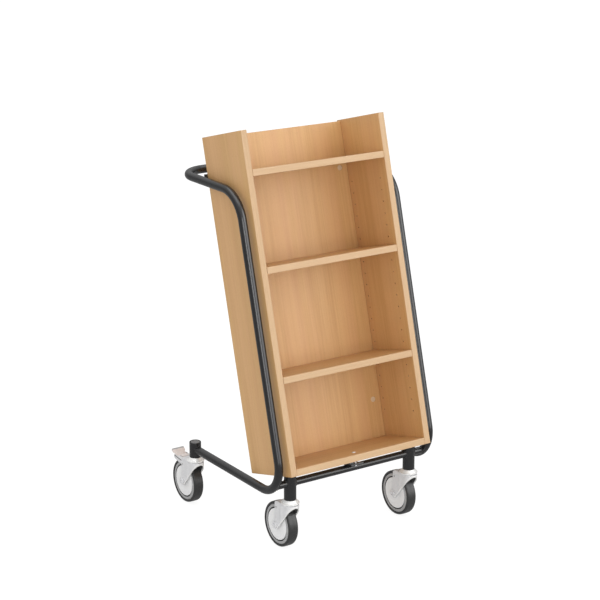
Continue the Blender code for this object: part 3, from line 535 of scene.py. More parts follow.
class ShapeTree(Graph):
    """A Geometry Nodes tree with named inputs for its sizes."""

    def __init__(self, name, inputs):
        super().__init__(bpy.data.node_groups.new(name, "GeometryNodeTree"))
        face = self.tree.interface
        face.new_socket("Geometry", in_out="INPUT", socket_type="NodeSocketGeometry")
        face.new_socket("Geometry", in_out="OUTPUT", socket_type="NodeSocketGeometry")
        self.keys = {}
        for label, kind in inputs.items():
            socket = face.new_socket(label, in_out="INPUT", socket_type="NodeSocket" + kind)
            self.keys[label] = socket.identifier
        self.entry = self.tree.nodes.new("NodeGroupInput")

    def size(self, label):
        return Value(self, self.entry.outputs[label])

    def end(self, shape, chosen=True):
        """Close the tree with plain geometry in its finish, all of it or the chosen faces."""
        whole = self.node("GeometryNodeRealizeInstances", {}, {"Geometry": shape})
        sockets = {"Geometry": whole, "Selection": chosen, "Material": self.size("Finish")}
        finished = self.node("GeometryNodeSetMaterial", {}, sockets)
        self.node("NodeGroupOutput", {}, {"Geometry": finished})

    def grow(self, mesh, sizes):
        """Run the tree on a mesh and give back the result as a plain mesh."""
        item = working(mesh)
        modifier = item.modifiers.new("shape", "NODES")
        modifier.node_group = self.tree
        for label, value in sizes.items():
            modifier[self.keys[label]] = value
        return plain(item)


def working(mesh):
    """A working object for a mesh, to be made plain again."""
    item = bpy.data.objects.new("working", mesh)
    bpy.context.scene.collection.objects.link(item)
    return item


def plain(item):
    """The evaluated mesh of a working object, which is then removed."""
    evaluated = bpy.context.evaluated_depsgraph_get()
    mesh = bpy.data.meshes.new_from_object(
        item.evaluated_get(evaluated), preserve_all_data_layers=True, depsgraph=evaluated
    )
    source = item.data
    bpy.data.objects.remove(item)
    bpy.data.meshes.remove(source)
    return mesh


def settle(mesh):
    """Smooth shading that keeps sharp corners sharp and flat faces flat."""
    mesh.shade_smooth()
    mesh.set_sharp_from_angle(angle=SHARP)
    item = working(mesh)
    normals = item.modifiers.new("normals", "WEIGHTED_NORMAL")
    normals.keep_sharp = True
    return plain(item)


def bevelled(mesh, width, segments=2):
    item = working(mesh)
    bevel = item.modifiers.new("bevel", "BEVEL")
    bevel.width = width
    bevel.segments = segments
    bevel.limit_method = "ANGLE"
    bevel.angle_limit = SHARP
    return plain(item)


def carved(mesh, steps):
    """A mesh cut, joined or trimmed by others, one after the other."""
    item = working(mesh)
    tools = []
    for operation, tool_mesh in steps:
        tool = working(tool_mesh)
        tools.append(tool)
        modifier = item.modifiers.new(operation.lower(), "BOOLEAN")
        modifier.operation = operation
        modifier.solver = "EXACT"
        modifier.object = tool
    result = plain(item)
    for tool in tools:
        tool_mesh = tool.data
        bpy.data.objects.remove(tool)
        bpy.data.meshes.remove(tool_mesh)
    return result


def cut_away(mesh, tools):
    """A mesh with other meshes taken out of it, one after the other."""
    return carved(mesh, [("DIFFERENCE", tool) for tool in tools])


def softened(mesh):
    """A pressed or moulded form: even faces with every corner rounded off."""
    item = working(mesh)
    remesh = item.modifiers.new("remesh", "REMESH")
    remesh.mode = "VOXEL"
    remesh.voxel_size = SOFT_VOXEL
    smooth = item.modifiers.new("smooth", "SMOOTH")
    smooth.factor = SOFT_FACTOR
    smooth.iterations = SOFT_PASSES
    decimate = item.modifiers.new("decimate", "DECIMATE")
    decimate.ratio = SOFT_KEPT
    return plain(item)


def mesh_from(build):
    """Turn a bmesh into a mesh with its faces outward."""
    bmesh.ops.recalc_face_normals(build, faces=build.faces)
    mesh = bpy.data.meshes.new("working")
    build.to_mesh(mesh)
    build.free()
    return mesh


def joined(meshes):
    """Several meshes as one, their own meshes then removed."""
    build = bmesh.new()
    for mesh in meshes:
        build.from_mesh(mesh)
        bpy.data.meshes.remove(mesh)
    result = bpy.data.meshes.new("working")
    build.to_mesh(result)
    build.free()
    return result


def moved(mesh, matrix):
    mesh.transform(matrix)
    return mesh


def box(low, high):
    build = bmesh.new()
    low = Vector(low)
    high = Vector(high)
    matrix = Matrix.Translation((low + high) / 2) @ Matrix.Diagonal((*(high - low), 1.0))
    bmesh.ops.create_cube(build, size=1.0, matrix=matrix)
    return mesh_from(build)


def turned(profile, sides):
    """A profile of radius and height swept round Z, closed on the axis or back onto itself."""
    build = bmesh.new()
    rings = []
    for radius, height in profile:
        count = sides if radius > 0 else 1
        ring = []
        for index in range(count):
            angle = 2 * math.pi * index / sides
            ring.append(build.verts.new((radius * math.cos(angle), radius * math.sin(angle), height)))
        rings.append(ring)
    pairs = list(zip(rings, rings[1:]))
    if profile[0][0] > 0:
        pairs.append((rings[-1], rings[0]))
    for first, second in pairs:
        for index in range(sides):
            following = index + 1
            corners = [
                first[index % len(first)],
                first[following % len(first)],
                second[following % len(second)],
                second[index % len(second)],
            ]
            build.faces.new(list(dict.fromkeys(corners)))
    return mesh_from(build)


def rod(start, end, radius, sides):
    """A round rod between two points."""
    run = Vector(end) - Vector(start)
    mesh = turned([(0.0, run.length), (radius, run.length), (radius, 0.0), (0.0, 0.0)], sides)
    return moved(mesh, Matrix.Translation(start) @ run.to_track_quat("Z", "Y").to_matrix().to_4x4())


def upright_rod(low, high, radius, sides):
    """A round rod along Z."""
    return rod((0.0, 0.0, low), (0.0, 0.0, high), radius, sides)


def cross_rod(half, place, radius, sides):
    """A round rod across, as long to the left of the middle as to the right."""
    along, level = place
    return rod((-half, along, level), (half, along, level), radius, sides)


def rounded_outline(corners, cyclic=True, steps=ARC_STEPS):
    """An outline through corners of place and rounding, with an arc at each rounded one."""
    outline = []
    for index, (place, radius) in enumerate(corners):
        place = Vector(place)
        is_end = index in (0, len(corners) - 1)
        if radius == 0.0 or (is_end and not cyclic):
            outline.append(place)
            continue
        before = (Vector(corners[index - 1][0]) - place).normalized()
        after = (Vector(corners[(index + 1) % len(corners)][0]) - place).normalized()
        half = before.angle(after) / 2
        centre = place + (before + after).normalized() * radius / math.sin(half)
        start = place + before * radius / math.tan(half) - centre
        end = place + after * radius / math.tan(half) - centre
        sweep = -start.angle_signed(end)
        for step in range(steps + 1):
            outline.append(centre + Matrix.Rotation(sweep * step / steps, 2) @ start)
    return [tuple(point) for point in outline]


def arc(centre, radius, start, end, steps):
    """Points of an arc in a plane, both ends included."""
    points = []
    for step in range(steps + 1):
        angle = start + (end - start) * step / steps
        points.append((centre[0] + radius * math.cos(angle), centre[1] + radius * math.sin(angle)))
    return points


def extruded(outline, low, high):
    """A flat outline in X and Y, raised from a low to a high level."""
    build = bmesh.new()
    base = build.faces.new([build.verts.new((across, along, low)) for across, along in outline])
    raised = bmesh.ops.extrude_face_region(build, geom=[base])
    top = [part for part in raised["geom"] if isinstance(part, bmesh.types.BMVert)]
    bmesh.ops.translate(build, verts=top, vec=(0.0, 0.0, high - low))
    return mesh_from(build)


def path_mesh(points, cyclic=False, bends=None):
    """A line of edges for a tree to follow, with a bend radius at each point where given."""
    build = bmesh.new()
    corners = [build.verts.new(point) for point in points]
    for first, second in zip(corners, corners[1:]):
        build.edges.new((first, second))
    if cyclic:
        build.edges.new((corners[-1], corners[0]))
    mesh = bpy.data.meshes.new("path")
    build.to_mesh(mesh)
    build.free()
    if bends:
        radii = mesh.attributes.new("bend", "FLOAT", "POINT")
        radii.data.foreach_set("value", bends)
    return mesh


def case_box(node):
    """A node's low and high corner on the case's own leaning axes."""
    upright = CASE_TURN.inverted()
    corners = [upright @ vertex.co for vertex in frame["nodes"][node].data.vertices]
    low = Vector([min(corner[axis] for corner in corners) for axis in range(3)])
    high = Vector([max(corner[axis] for corner in corners) for axis in range(3)])
    return low, high


def add_piece(name, mesh, body, finishes=(), stands_for=()):
    """A finished piece on its body, in place of the nodes that it stands for."""
    mesh.name = name
    for finish in finishes:
        mesh.materials.append(finish)
    piece = bpy.data.objects.new(name, mesh)
    bpy.context.scene.collection.objects.link(piece)
    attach(piece, body)
    if stands_for:
        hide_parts(*stands_for)
    return piece


def drill_tree():
    """Cuts a double row of round holes and gives their walls the finish."""
    tree = ShapeTree(
        "drilled_rows",
        {
            "First Hole": "Vector",
            "To Second Row": "Vector",
            "Pitch": "Vector",
            "Count": "Int",
            "Radius": "Float",
            "Depth": "Float",
            "Turn": "Vector",
            "Finish": "Material",
        },
    )
    bit_sizes = {"Vertices": ROW_HOLE_SIDES, "Radius": tree.size("Radius"), "Depth": tree.size("Depth")}
    bit = tree.node("GeometryNodeMeshCylinder", {}, bit_sizes)
    turned_bit = tree.node("GeometryNodeTransform", {}, {"Geometry": bit, "Rotation": tree.size("Turn")})
    first = tree.size("First Hole")
    apart = tree.size("To Second Row")
    second = tree.node("ShaderNodeVectorMath", {"operation": "ADD"}, {0: first, 1: apart})
    rows = []
    for start in (first, second):
        line = {"Count": tree.size("Count"), "Start Location": start, "Offset": tree.size("Pitch")}
        rows.append(tree.node("GeometryNodeMeshLine", {"mode": "OFFSET"}, line))
    both = tree.node("GeometryNodeJoinGeometry", {}, {"Geometry": rows})
    bits = tree.node("GeometryNodeInstanceOnPoints", {}, {"Points": both, "Instance": turned_bit})
    solid_bits = tree.node("GeometryNodeRealizeInstances", {}, {"Geometry": bits})
    marked = tree.node(
        "GeometryNodeStoreNamedAttribute",
        {"data_type": "BOOLEAN", "domain": "FACE"},
        {"Geometry": solid_bits, "Name": "drilled", "Value": True},
    )
    board = tree.size("Geometry")
    holed = tree.node(
        "GeometryNodeMeshBoolean",
        {"operation": "DIFFERENCE", "solver": "EXACT"},
        {"Mesh 1": board, "Mesh 2": marked},
    )
    walls = tree.node("GeometryNodeInputNamedAttribute", {"data_type": "BOOLEAN"}, {"Name": "drilled"})
    tree.end(holed, walls)
    return tree


def tube_tree():
    """A round tube along a path whose corners are bent to their own radius."""
    inputs = {"Radius": "Float", "Sides": "Int", "Bend Steps": "Int", "Finish": "Material"}
    tree = ShapeTree("bent_tube", inputs)
    line = tree.node("GeometryNodeMeshToCurve", {}, {"Mesh": tree.size("Geometry")})
    bend = tree.node("GeometryNodeInputNamedAttribute", {"data_type": "FLOAT"}, {"Name": "bend"})
    bent = tree.node(
        "GeometryNodeFilletCurve",
        {"mode": "POLY"},
        {"Curve": line, "Count": tree.size("Bend Steps"), "Radius": bend},
    )
    ring_sizes = {"Resolution": tree.size("Sides"), "Radius": tree.size("Radius")}
    ring = tree.node("GeometryNodeCurvePrimitiveCircle", {}, ring_sizes)
    tube_sockets = {"Curve": bent, "Profile Curve": ring, "Fill Caps": True}
    tree.end(tree.node("GeometryNodeCurveToMesh", {}, tube_sockets))
    return tree


def weld_tree():
    """A weld along a seam: overlapping beads, each a little unlike the next."""
    inputs = {"Bead": "Float", "Pitch": "Float", "Seed": "Int", "Finish": "Material"}
    tree = ShapeTree("weld_seam", inputs)
    line = tree.node("GeometryNodeMeshToCurve", {}, {"Mesh": tree.size("Geometry")})
    spots = tree.node(
        "GeometryNodeCurveToPoints", {"mode": "LENGTH"}, {"Curve": line, "Length": tree.size("Pitch")}
    )
    bead_sizes = {"Segments": BEAD_SEGMENTS, "Rings": BEAD_RINGS, "Radius": tree.size("Bead")}
    bead = tree.node("GeometryNodeMeshUVSphere", {}, bead_sizes)
    swell = tree.node(
        "FunctionNodeRandomValue",
        {"data_type": "FLOAT_VECTOR"},
        {0: BEAD_LEAST, 1: BEAD_MOST, "Seed": tree.size("Seed")},
    )
    beads = tree.node(
        "GeometryNodeInstanceOnPoints",
        {},
        {"Points": spots, "Instance": bead, "Rotation": spots.other("Rotation"), "Scale": swell},
    )
    tree.end(beads)
    return tree


def row_tree():
    """Copies of one small part in a straight row."""
    inputs = {"Count": "Int", "First": "Vector", "Pitch": "Vector", "Finish": "Material"}
    tree = ShapeTree("part_row", inputs)
    first = tree.size("First")
    line = {"Count": tree.size("Count"), "Start Location": first, "Offset": tree.size("Pitch")}
    spots = tree.node("GeometryNodeMeshLine", {"mode": "OFFSET"}, line)
    copies = {"Points": spots, "Instance": tree.size("Geometry")}
    tree.end(tree.node("GeometryNodeInstanceOnPoints", {}, copies))
    return tree


def new_finish(name):
    material = bpy.data.materials.new(name)
    material.use_nodes = True
    material.node_tree.nodes.clear()
    return material, Graph(material.node_tree)


def paint(red, green, blue):
    return (red, green, blue, 1.0)


def grey(level):
    return paint(level, level, level)


def surface(graph, colour, rough, relief, settings=None):
    """The shader of a finish, wired to its output."""
    sockets = {"Base Color": colour, "Roughness": rough, "Normal": relief}
    sockets.update(settings or {})
    shader = graph.node("ShaderNodeBsdfPrincipled", {}, sockets)
    graph.node("ShaderNodeOutputMaterial", {}, {"Surface": shader})


def beech_finish(name, light, dark, rosy, golden, fleck, band_share):
    """Printed beech: broad soft bands, fine streaks and short dark flecks along the grain."""
    material, graph = new_finish(name)
    sheet = graph.node("ShaderNodeUVMap", {"uv_map": GRAIN_SHEET})
    grain = {}
    for layer, (repeats, shift, detail, roughness) in GRAIN_LAYERS.items():
        place = graph.place(sheet, repeats, shift)
        grain[layer] = graph.noise(place, detail=detail, roughness=roughness)
    streaks = grain["streaks"]
    fibres = grain["fibres"]
    flecks = graph.step(grain["specks"], *FLECK_LEVELS)
    streak_share = 1.0 - FIBRE_SHARE - band_share
    lines = grain["bands"] * band_share + streaks * streak_share + fibres * FIBRE_SHARE
    wood = graph.mix(graph.step(lines, *TONE_LEVELS), light, dark)
    blushed = graph.mix(BLUSH_SHARE * graph.step(grain["planks"], *BLUSH_LEVELS), wood, rosy)
    gilded = graph.mix(GILD_SHARE * graph.step(grain["glow"], *GILD_LEVELS), blushed, golden)
    flecked = graph.mix(flecks * FLECK_SHARE, gilded, fleck)
    rough = BEECH_ROUGH + BEECH_ROUGH_STREAK * streaks + BEECH_ROUGH_FLECK * flecks
    relief = graph.bump(FIBRE_RELIEF * fibres + STREAK_RELIEF * streaks - flecks, *BEECH_RELIEF)
    surface(graph, flecked, rough, relief, {"Specular IOR Level": BEECH_GLOSS})
    return material


def chipboard_finish():
    """Raw board in the drilled holes."""
    material, graph = new_finish("raw_chipboard")
    chips = graph.noise(graph.on_object(), CHIP_SCALE, detail=3.0)
    colour = graph.mix(chips, CHIP_DARK, CHIP_LIGHT)
    rough = CHIP_ROUGH + CHIP_ROUGH_SPREAD * chips
    surface(graph, colour, rough, graph.bump(chips, *CHIP_RELIEF))
    return material


def coat_finish():
    """Black powder coat with a fine orange peel and a little dust on it."""
    material, graph = new_finish("black_powder_coat")
    place = graph.on_object()
    peel = graph.noise(place, PEEL_SCALE, detail=1.0)
    grit = graph.noise(place, GRIT_SCALE, detail=2.0)
    dust = graph.noise(place, DUST_SCALE, detail=3.0)
    colour = graph.mix(dust, COAT_BLACK, COAT_DUSTY)
    rough = COAT_ROUGH + COAT_ROUGH_DUST * dust + COAT_ROUGH_GRIT * grit
    relief = graph.bump(peel + GRIT_RELIEF * grit, *COAT_RELIEF)
    surface(graph, colour, rough, relief, {"Specular IOR Level": COAT_GLOSS})
    return material


def zinc_finish(name, light, dark, base_rough, metal):
    """Zinc plating: faint crystal patches, soft clouding and fine handling marks."""
    material, graph = new_finish(name)
    place = graph.on_object()
    cells = {"Vector": place, "Scale": CRYSTAL_SCALE}
    crystals = graph.node("ShaderNodeTexVoronoi", {}, cells, "Color")
    patch = graph.node("ShaderNodeSeparateColor", {}, {"Color": crystals})
    cloud = graph.noise(place, ZINC_CLOUD_SCALE, detail=3.0)
    marks = graph.noise(graph.place(place, MARK_REPEATS), detail=2.0)
    colour = graph.mix(CRYSTAL_SHARE * patch + (1.0 - CRYSTAL_SHARE) * cloud, light, dark)
    rough = base_rough + ZINC_ROUGH_CLOUD * cloud + ZINC_ROUGH_MARK * marks
    relief = graph.bump(marks, *ZINC_RELIEF)
    surface(graph, colour, rough, relief, {"Metallic": metal})
    return material


def moulded_finish(name, light, dark, base_rough, skin_scale, skin_height, gloss=PLASTIC_GLOSS):
    """Moulded plastic or rubber: fine pitted skin with slow changes of tone."""
    material, graph = new_finish(name)
    place = graph.on_object()
    skin = graph.noise(place, skin_scale, detail=2.0)
    cloud = graph.noise(place, SKIN_CLOUD_SCALE, detail=3.0)
    colour = graph.mix((1.0 - SKIN_SHARE) * cloud + SKIN_SHARE * skin, light, dark)
    rough = base_rough + SKIN_ROUGH_CLOUD * cloud + SKIN_ROUGH * skin
    relief = graph.bump(skin, skin_height, SKIN_RELIEF_STRENGTH)
    surface(graph, colour, rough, relief, {"Specular IOR Level": gloss})
    return material


def lay_grain(mesh, low, high, grain, shift):
    """Sheet coordinates along and across the grain on each face, and on thin sides the edge finish,
    partly a painted sheen.
    """
    size = high - low
    thin = min(range(3), key=lambda axis: size[axis])
    sheet = mesh.uv_layers.new(name=GRAIN_SHEET)
    for face in mesh.polygons:
        facing = max(range(3), key=lambda axis: abs(face.normal[axis]))
        along = grain
        across = 3 - facing - grain
        # Edges take the edge band finish, whose paler tone is partly a painted sheen
        if facing != thin:
            face.material_index = SECOND_FINISH
            along = 3 - facing - thin
            across = thin
        own_shift = shift + facing + FACE_GRAIN_STEP * (face.normal[facing] > 0)
        for loop in face.loop_indices:
            place = mesh.vertices[mesh.loops[loop].vertex_index].co
            sheet.uv[loop].vector = (place[along] + own_shift, place[across] + own_shift)


def board_mesh(node, grain, shift, cuts=()):
    """A board with rounded edges and its decor laid on, still on the case's own axes."""
    low, high = case_box(node)
    mesh = box(low, high)
    if cuts:
        mesh = cut_away(mesh, cuts)
    mesh = bevelled(mesh, EDGE_ROUND, EDGE_STEPS)
    lay_grain(mesh, low, high, grain, shift)
    mesh.materials.append(BEECH)
    mesh.materials.append(BEECH_EDGE_AND_SHEEN)
    return mesh


def add_side_panels(drill):
    for side_name, side in SIDES.items():
        node = f"{side_name}_side_panel"
        low, high = case_box(node)
        mesh = board_mesh(node, UP, PANEL_GRAIN + side)
        inner = low.x if side > 0 else high.x
        middle = inner + side * (ROW_HOLE_DEPTH - DRILL_PAST) / 2
        sizes = {
            "First Hole": (middle, low.y + ROW_FRONT, low.z + ROW_FIRST),
            "To Second Row": (0.0, ROW_REAR - ROW_FRONT, 0.0),
            "Pitch": (0.0, 0.0, ROW_PITCH),
            "Count": ROW_COUNT,
            "Radius": ROW_HOLE_RADIUS,
            "Depth": ROW_HOLE_DEPTH + DRILL_PAST,
            "Turn": (0.0, math.pi / 2, 0.0),
            "Finish": CHIPBOARD,
        }
        holed = moved(settle(drill.grow(mesh, sizes)), CASE_TURN)
        add_piece(f"beech_{side_name}_side", holed, "trolley", stands_for=[node])


def cam_places():
    """Middle of each cam lock's face, by its node."""
    places = {}
    for level in ("upper", "lower"):
        for side_name, side in SIDES.items():
            node = f"{level}_{side_name}_cam_lock"
            low, high = case_box(node)
            inner = low.x if side > 0 else high.x
            places[node] = Vector((inner + side * CAM_RADIUS, low.y, (low.z + high.z) / 2))
    return places


def add_back(drill):
    places = cam_places()
    first = places["lower_left_cam_lock"]
    mesh = board_mesh("back_panel", UP, BACK_GRAIN)
    sizes = {
        "First Hole": first + Vector((0.0, (CAM_POCKET_DEPTH - DRILL_PAST) / 2, 0.0)),
        "To Second Row": places["lower_right_cam_lock"] - first,
        "Pitch": places["upper_left_cam_lock"] - first,
        "Count": 2,
        "Radius": CAM_RADIUS + CAM_POCKET_ROOM,
        "Depth": CAM_POCKET_DEPTH + DRILL_PAST,
        "Turn": (math.pi / 2, 0.0, 0.0),
        "Finish": CHIPBOARD,
    }
    holed = moved(settle(drill.grow(mesh, sizes)), CASE_TURN)
    add_piece("beech_back", holed, "trolley", stands_for=["back_panel"])


def cross_slot(length, width, depth):
    """Two crossed bars, down from the level of Z = 0, that leave a screwdriver's cross."""
    half = length / 2
    thin = width / 2
    return [
        box((-half, -thin, -depth), (half, thin, DRILL_PAST)),
        box((-thin, -half, -depth), (thin, half, DRILL_PAST)),
    ]


def add_cam_locks(row):
    """Round cams set in the back panel's face, each with a cross for the driver."""
    foot = CAM_SINK - CAM_POCKET_DEPTH
    profile = [
        (0.0, 0.0),
        (CAM_RADIUS - CAM_CHAMFER, 0.0),
        (CAM_RADIUS, -CAM_CHAMFER),
        (CAM_RADIUS, foot),
        (0.0, foot),
    ]
    to_front = Matrix.Rotation(math.pi / 2, 4, "X")
    places = cam_places()
    for level in ("upper", "lower"):
        slot = cross_slot(CAM_SLOT_LENGTH, CAM_SLOT_WIDTH, CAM_SLOT_DEPTH)
        cam = cut_away(turned(profile, CAM_SIDES), slot)
        nodes = [f"{level}_{side_name}_cam_lock" for side_name in SIDES]
        left, right = [places[node] for node in nodes]
        sizes = {
            "Count": 2,
            "First": left + Vector((0.0, CAM_SINK, 0.0)),
            "Pitch": right - left,
            "Finish": WARM_ZINC,
        }
        pair = moved(row.grow(settle(moved(cam, to_front)), sizes), CASE_TURN)
        add_piece(f"{level}_cam_locks", pair, "trolley", stands_for=nodes)


def shelf_kerfs(node):
    """Saw cuts in a loose shelf's ends, open at the back, for the wires that carry it."""
    low, high = case_box(node)
    middle = (low.z + high.z) / 2
    cuts = []
    for end, inward in ((low.x, 1), (high.x, -1)):
        sides = sorted((end - inward * DRILL_PAST, end + inward * KERF_DEPTH))
        kerf_low = (sides[0], low.y + KERF_FRONT_STOP, middle - KERF_HEIGHT / 2)
        kerf_high = (sides[1], high.y + DRILL_PAST, middle + KERF_HEIGHT / 2)
        cuts.append(box(kerf_low, kerf_high))
    return cuts


def add_shelves():
    bodies = {
        "top_shelf": "trolley",
        "upper_shelf": "upper_shelf_board",
        "lower_shelf": "lower_shelf_board",
        "bottom_shelf": "trolley",
    }
    for index, (node, body) in enumerate(bodies.items()):
        cuts = shelf_kerfs(node) if body != "trolley" else ()
        board = board_mesh(node, ACROSS, SHELF_GRAIN + SHELF_GRAIN_STEP * index, cuts)
        mesh = moved(settle(board), CASE_TURN)
        add_piece(f"beech_{node}", mesh, body, stands_for=[node])


def add_shelf_wires(tube):
    """Bent wires with both ends in the row holes."""
    for shelf in ("upper_shelf", "lower_shelf"):
        for side_name, side in SIDES.items():
            node = f"{shelf}_{side_name}_wire"
            low, high = case_box(node)
            radius = (high.z - low.z) / 2
            level = (high.z + low.z) / 2
            end = high.x if side > 0 else low.x
            run = low.x + radius if side > 0 else high.x - radius
            corners = [
                (end, low.y + radius, level),
                (run, low.y + radius, level),
                (run, high.y - radius, level),
                (end, high.y - radius, level),
            ]
            line = path_mesh(corners, bends=[0.0, WIRE_BEND, WIRE_BEND, 0.0])
            sizes = {
                "Radius": radius,
                "Sides": WIRE_SIDES,
                "Bend Steps": WIRE_BEND_STEPS,
                "Finish": ZINC,
            }
            wire = moved(settle(tube.grow(line, sizes)), CASE_TURN)
            add_piece(f"{shelf}_{side_name}_carrier", wire, "trolley", stands_for=[node])


def add_frame_tube(tube):
    """The one bent tube: base rails, risers, top rails and handle."""
    foot_low, foot_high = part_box("rear_right_post")
    tube_x = (foot_low.x + foot_high.x) / 2
    base = (foot_low.z + foot_high.z) / 2
    rail_end = foot_low.y + (foot_high.x - foot_low.x) * RAIL_INTO_POST
    shoulder = CORNER_Y + (HANDLE_HEIGHT - base) * math.tan(LEAN)
    half = [
        ((tube_x, rail_end, base), 0.0),
        ((tube_x, CORNER_Y, base), BASE_BEND),
        ((tube_x, shoulder, HANDLE_HEIGHT), SHOULDER_BEND),
        ((tube_x, HANDLE_Y, HANDLE_HEIGHT), HANDLE_BEND),
    ]
    other_half = [((-x, y, z), bend) for (x, y, z), bend in half]
    corners = other_half + half[::-1]
    line = path_mesh([place for place, _ in corners], bends=[bend for _, bend in corners])
    sizes = {"Radius": TUBE_RADIUS, "Sides": TUBE_SIDES, "Bend Steps": BEND_STEPS, "Finish": COAT}
    mesh = settle(tube.grow(line, sizes))
    add_piece("coated_frame_tube", mesh, "trolley", stands_for=["frame_tube"])
    return tube_x, base


def post_foot(radius, foot):
    """Lower corners of a post's section, round the bore that is open for the caster's stem."""
    return [
        ((radius, foot), POST_FOOT_CHAMFER),
        ((POST_BORE, foot), 0.0),
        ((POST_BORE, foot + STEM_ROOM), 0.0),
        ((0.0, foot + STEM_ROOM), 0.0),
    ]


def add_rear_posts():
    """Short posts with a cap pressed into the top, whose grey face is a painted reflection."""
    for side_name in SIDES:
        node = f"rear_{side_name}_post"
        low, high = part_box(node)
        radius = (high.x - low.x) / 2
        top = high.z
        corners = [
            ((0.0, top - CAP_SINK), 0.0),
            ((radius - CAP_INSET, top - CAP_SINK), 0.0),
            ((radius - CAP_GROOVE_INSET, top - CAP_GROOVE_DEEP), 0.0),
            ((radius - CAP_RIM_INSET, top), 0.0),
            ((radius, top), POST_TOP_ROUND),
        ]
        corners += post_foot(radius, low.z)
        mesh = settle(turned(rounded_outline(corners, cyclic=False), POST_SIDES))
        # Faces of the cap inside its rim get grey plastic: a painted reflection on the black cap
        for face in mesh.polygons:
            from_axis = math.hypot(face.center.x, face.center.y)
            if face.center.z > top - CAP_REFLECTION_DEEP and from_axis < radius - CAP_REFLECTION_INSET:
                face.material_index = SECOND_FINISH
        middle = ((low.x + high.x) / 2, (low.y + high.y) / 2, 0.0)
        mesh = moved(mesh, Matrix.Translation(middle))
        finishes = [COAT, CAP_PAINTED_REFLECTION]
        add_piece(f"coated_rear_{side_name}_post", mesh, "trolley", finishes, [node])


def add_front_posts():
    """Posts with closed sloped tops right under the case."""
    under_case = case_box("bottom_shelf")[0]
    seat = CASE_TURN @ Vector((0.0, under_case.y, under_case.z - POST_SEAT_GAP))
    slope = CASE_TURN.to_3x3() @ Vector((0.0, 0.0, 1.0))
    for side_name in SIDES:
        node = f"front_{side_name}_post"
        low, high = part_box(node)
        radius = (high.x - low.x) / 2
        corners = [((0.0, high.z), 0.0), ((radius, high.z), 0.0)]
        corners += post_foot(radius, low.z)
        mesh = turned(rounded_outline(corners, cyclic=False), POST_SIDES)
        mesh = moved(mesh, Matrix.Translation(((low.x + high.x) / 2, (low.y + high.y) / 2, 0.0)))
        build = bmesh.new()
        build.from_mesh(mesh)
        bpy.data.meshes.remove(mesh)
        everything = build.verts[:] + build.edges[:] + build.faces[:]
        cut = bmesh.ops.bisect_plane(
            build, geom=everything, plane_co=seat, plane_no=slope, clear_outer=True
        )
        rim = [part for part in cut["geom_cut"] if isinstance(part, bmesh.types.BMEdge)]
        bmesh.ops.contextual_create(build, geom=rim)
        mesh = settle(bevelled(mesh_from(build), PLATE_ROUND))
        add_piece(f"coated_front_{side_name}_post", mesh, "trolley", [COAT], [node])


def crossbar_place():
    low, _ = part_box("front_crossbar")
    post_low, post_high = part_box("front_left_post")
    return (post_low.y + post_high.y) / 2, low.z + CROSSBAR_RADIUS


def add_crossbar(tube_x):
    """The front crossbar with the tab and spacer that hold the middle of the case."""
    bar_y, bar_z = crossbar_place()
    reach = tube_x - TUBE_RADIUS / 2
    bar = cross_rod(reach, (bar_y, bar_z), CROSSBAR_RADIUS, CROSSBAR_SIDES)
    case_low = case_box("bottom_shelf")[0]
    bar_on_case = CASE_TURN.inverted() @ Vector((0.0, bar_y, bar_z))
    tab_low = bar_on_case.z + CROSSBAR_RADIUS - TAB_INTO_BAR
    tab_high = tab_low + TAB_PLATE
    tab = box((-TAB_HALF, case_low.y + TAB_FRONT, tab_low), (TAB_HALF, bar_on_case.y, tab_high))
    spacer_low = (-TAB_HALF + SPACER_INSET, case_low.y + SPACER_FRONT, tab_high - SPACER_INTO_TAB)
    spacer_high = (SPACER_WIDTH - TAB_HALF, bar_on_case.y - SPACER_REAR, case_low.z - POST_SEAT_GAP)
    plates = [bevelled(tab, PLATE_ROUND), bevelled(box(spacer_low, spacer_high), PLATE_ROUND)]
    mesh = settle(joined([bar] + [moved(plate, CASE_TURN) for plate in plates]))
    add_piece("coated_front_crossbar", mesh, "trolley", [COAT], ["front_crossbar"])


def add_lugs(tube_x):
    """Flat lugs from the top rails to the back of the case."""
    back = case_box("back_panel")[1].y + POST_SEAT_GAP
    plates = []
    for side_name, side in SIDES.items():
        low, high = case_box(f"{side_name}_lug_screw")
        across = (low.x + high.x) / 2
        level = (low.z + high.z) / 2
        inner = side * (abs(across) - LUG_HALF_REACH)
        outer = side * (tube_x - TUBE_RADIUS + LUG_INTO_TUBE)
        corners = [
            ((inner, level - LUG_HALF_HEIGHT), LUG_CORNER),
            ((outer, level - LUG_HALF_HEIGHT), 0.0),
            ((outer, level + LUG_HALF_HEIGHT), 0.0),
            ((inner, level + LUG_HALF_HEIGHT), LUG_CORNER),
        ]
        plate = bevelled(extruded(rounded_outline(corners), 0.0, LUG_PLATE), PLATE_ROUND)
        stand = Matrix.Translation((0.0, back + LUG_PLATE, 0.0)) @ Matrix.Rotation(math.pi / 2, 4, "X")
        plates.append(moved(plate, stand))
    mesh = moved(settle(joined(plates)), CASE_TURN)
    add_piece("coated_back_lugs", mesh, "trolley", [COAT])


def seam_points(centre, axis, tool_radius, wall_radius, wall_axis):
    """Where a round bar, running along an axis, meets the wall of a tube whose own axis is given."""
    axis = Vector(axis)
    wall_axis = Vector(wall_axis)
    beside = axis.cross(wall_axis).normalized()
    points = []
    for step in range(SEAM_STEPS):
        angle = 2 * math.pi * step / SEAM_STEPS
        off = tool_radius * math.cos(angle)
        reach = math.sqrt(wall_radius ** 2 - off ** 2)
        point = Vector(centre) + axis * reach + beside * off
        points.append(point + wall_axis * tool_radius * math.sin(angle))
    return points


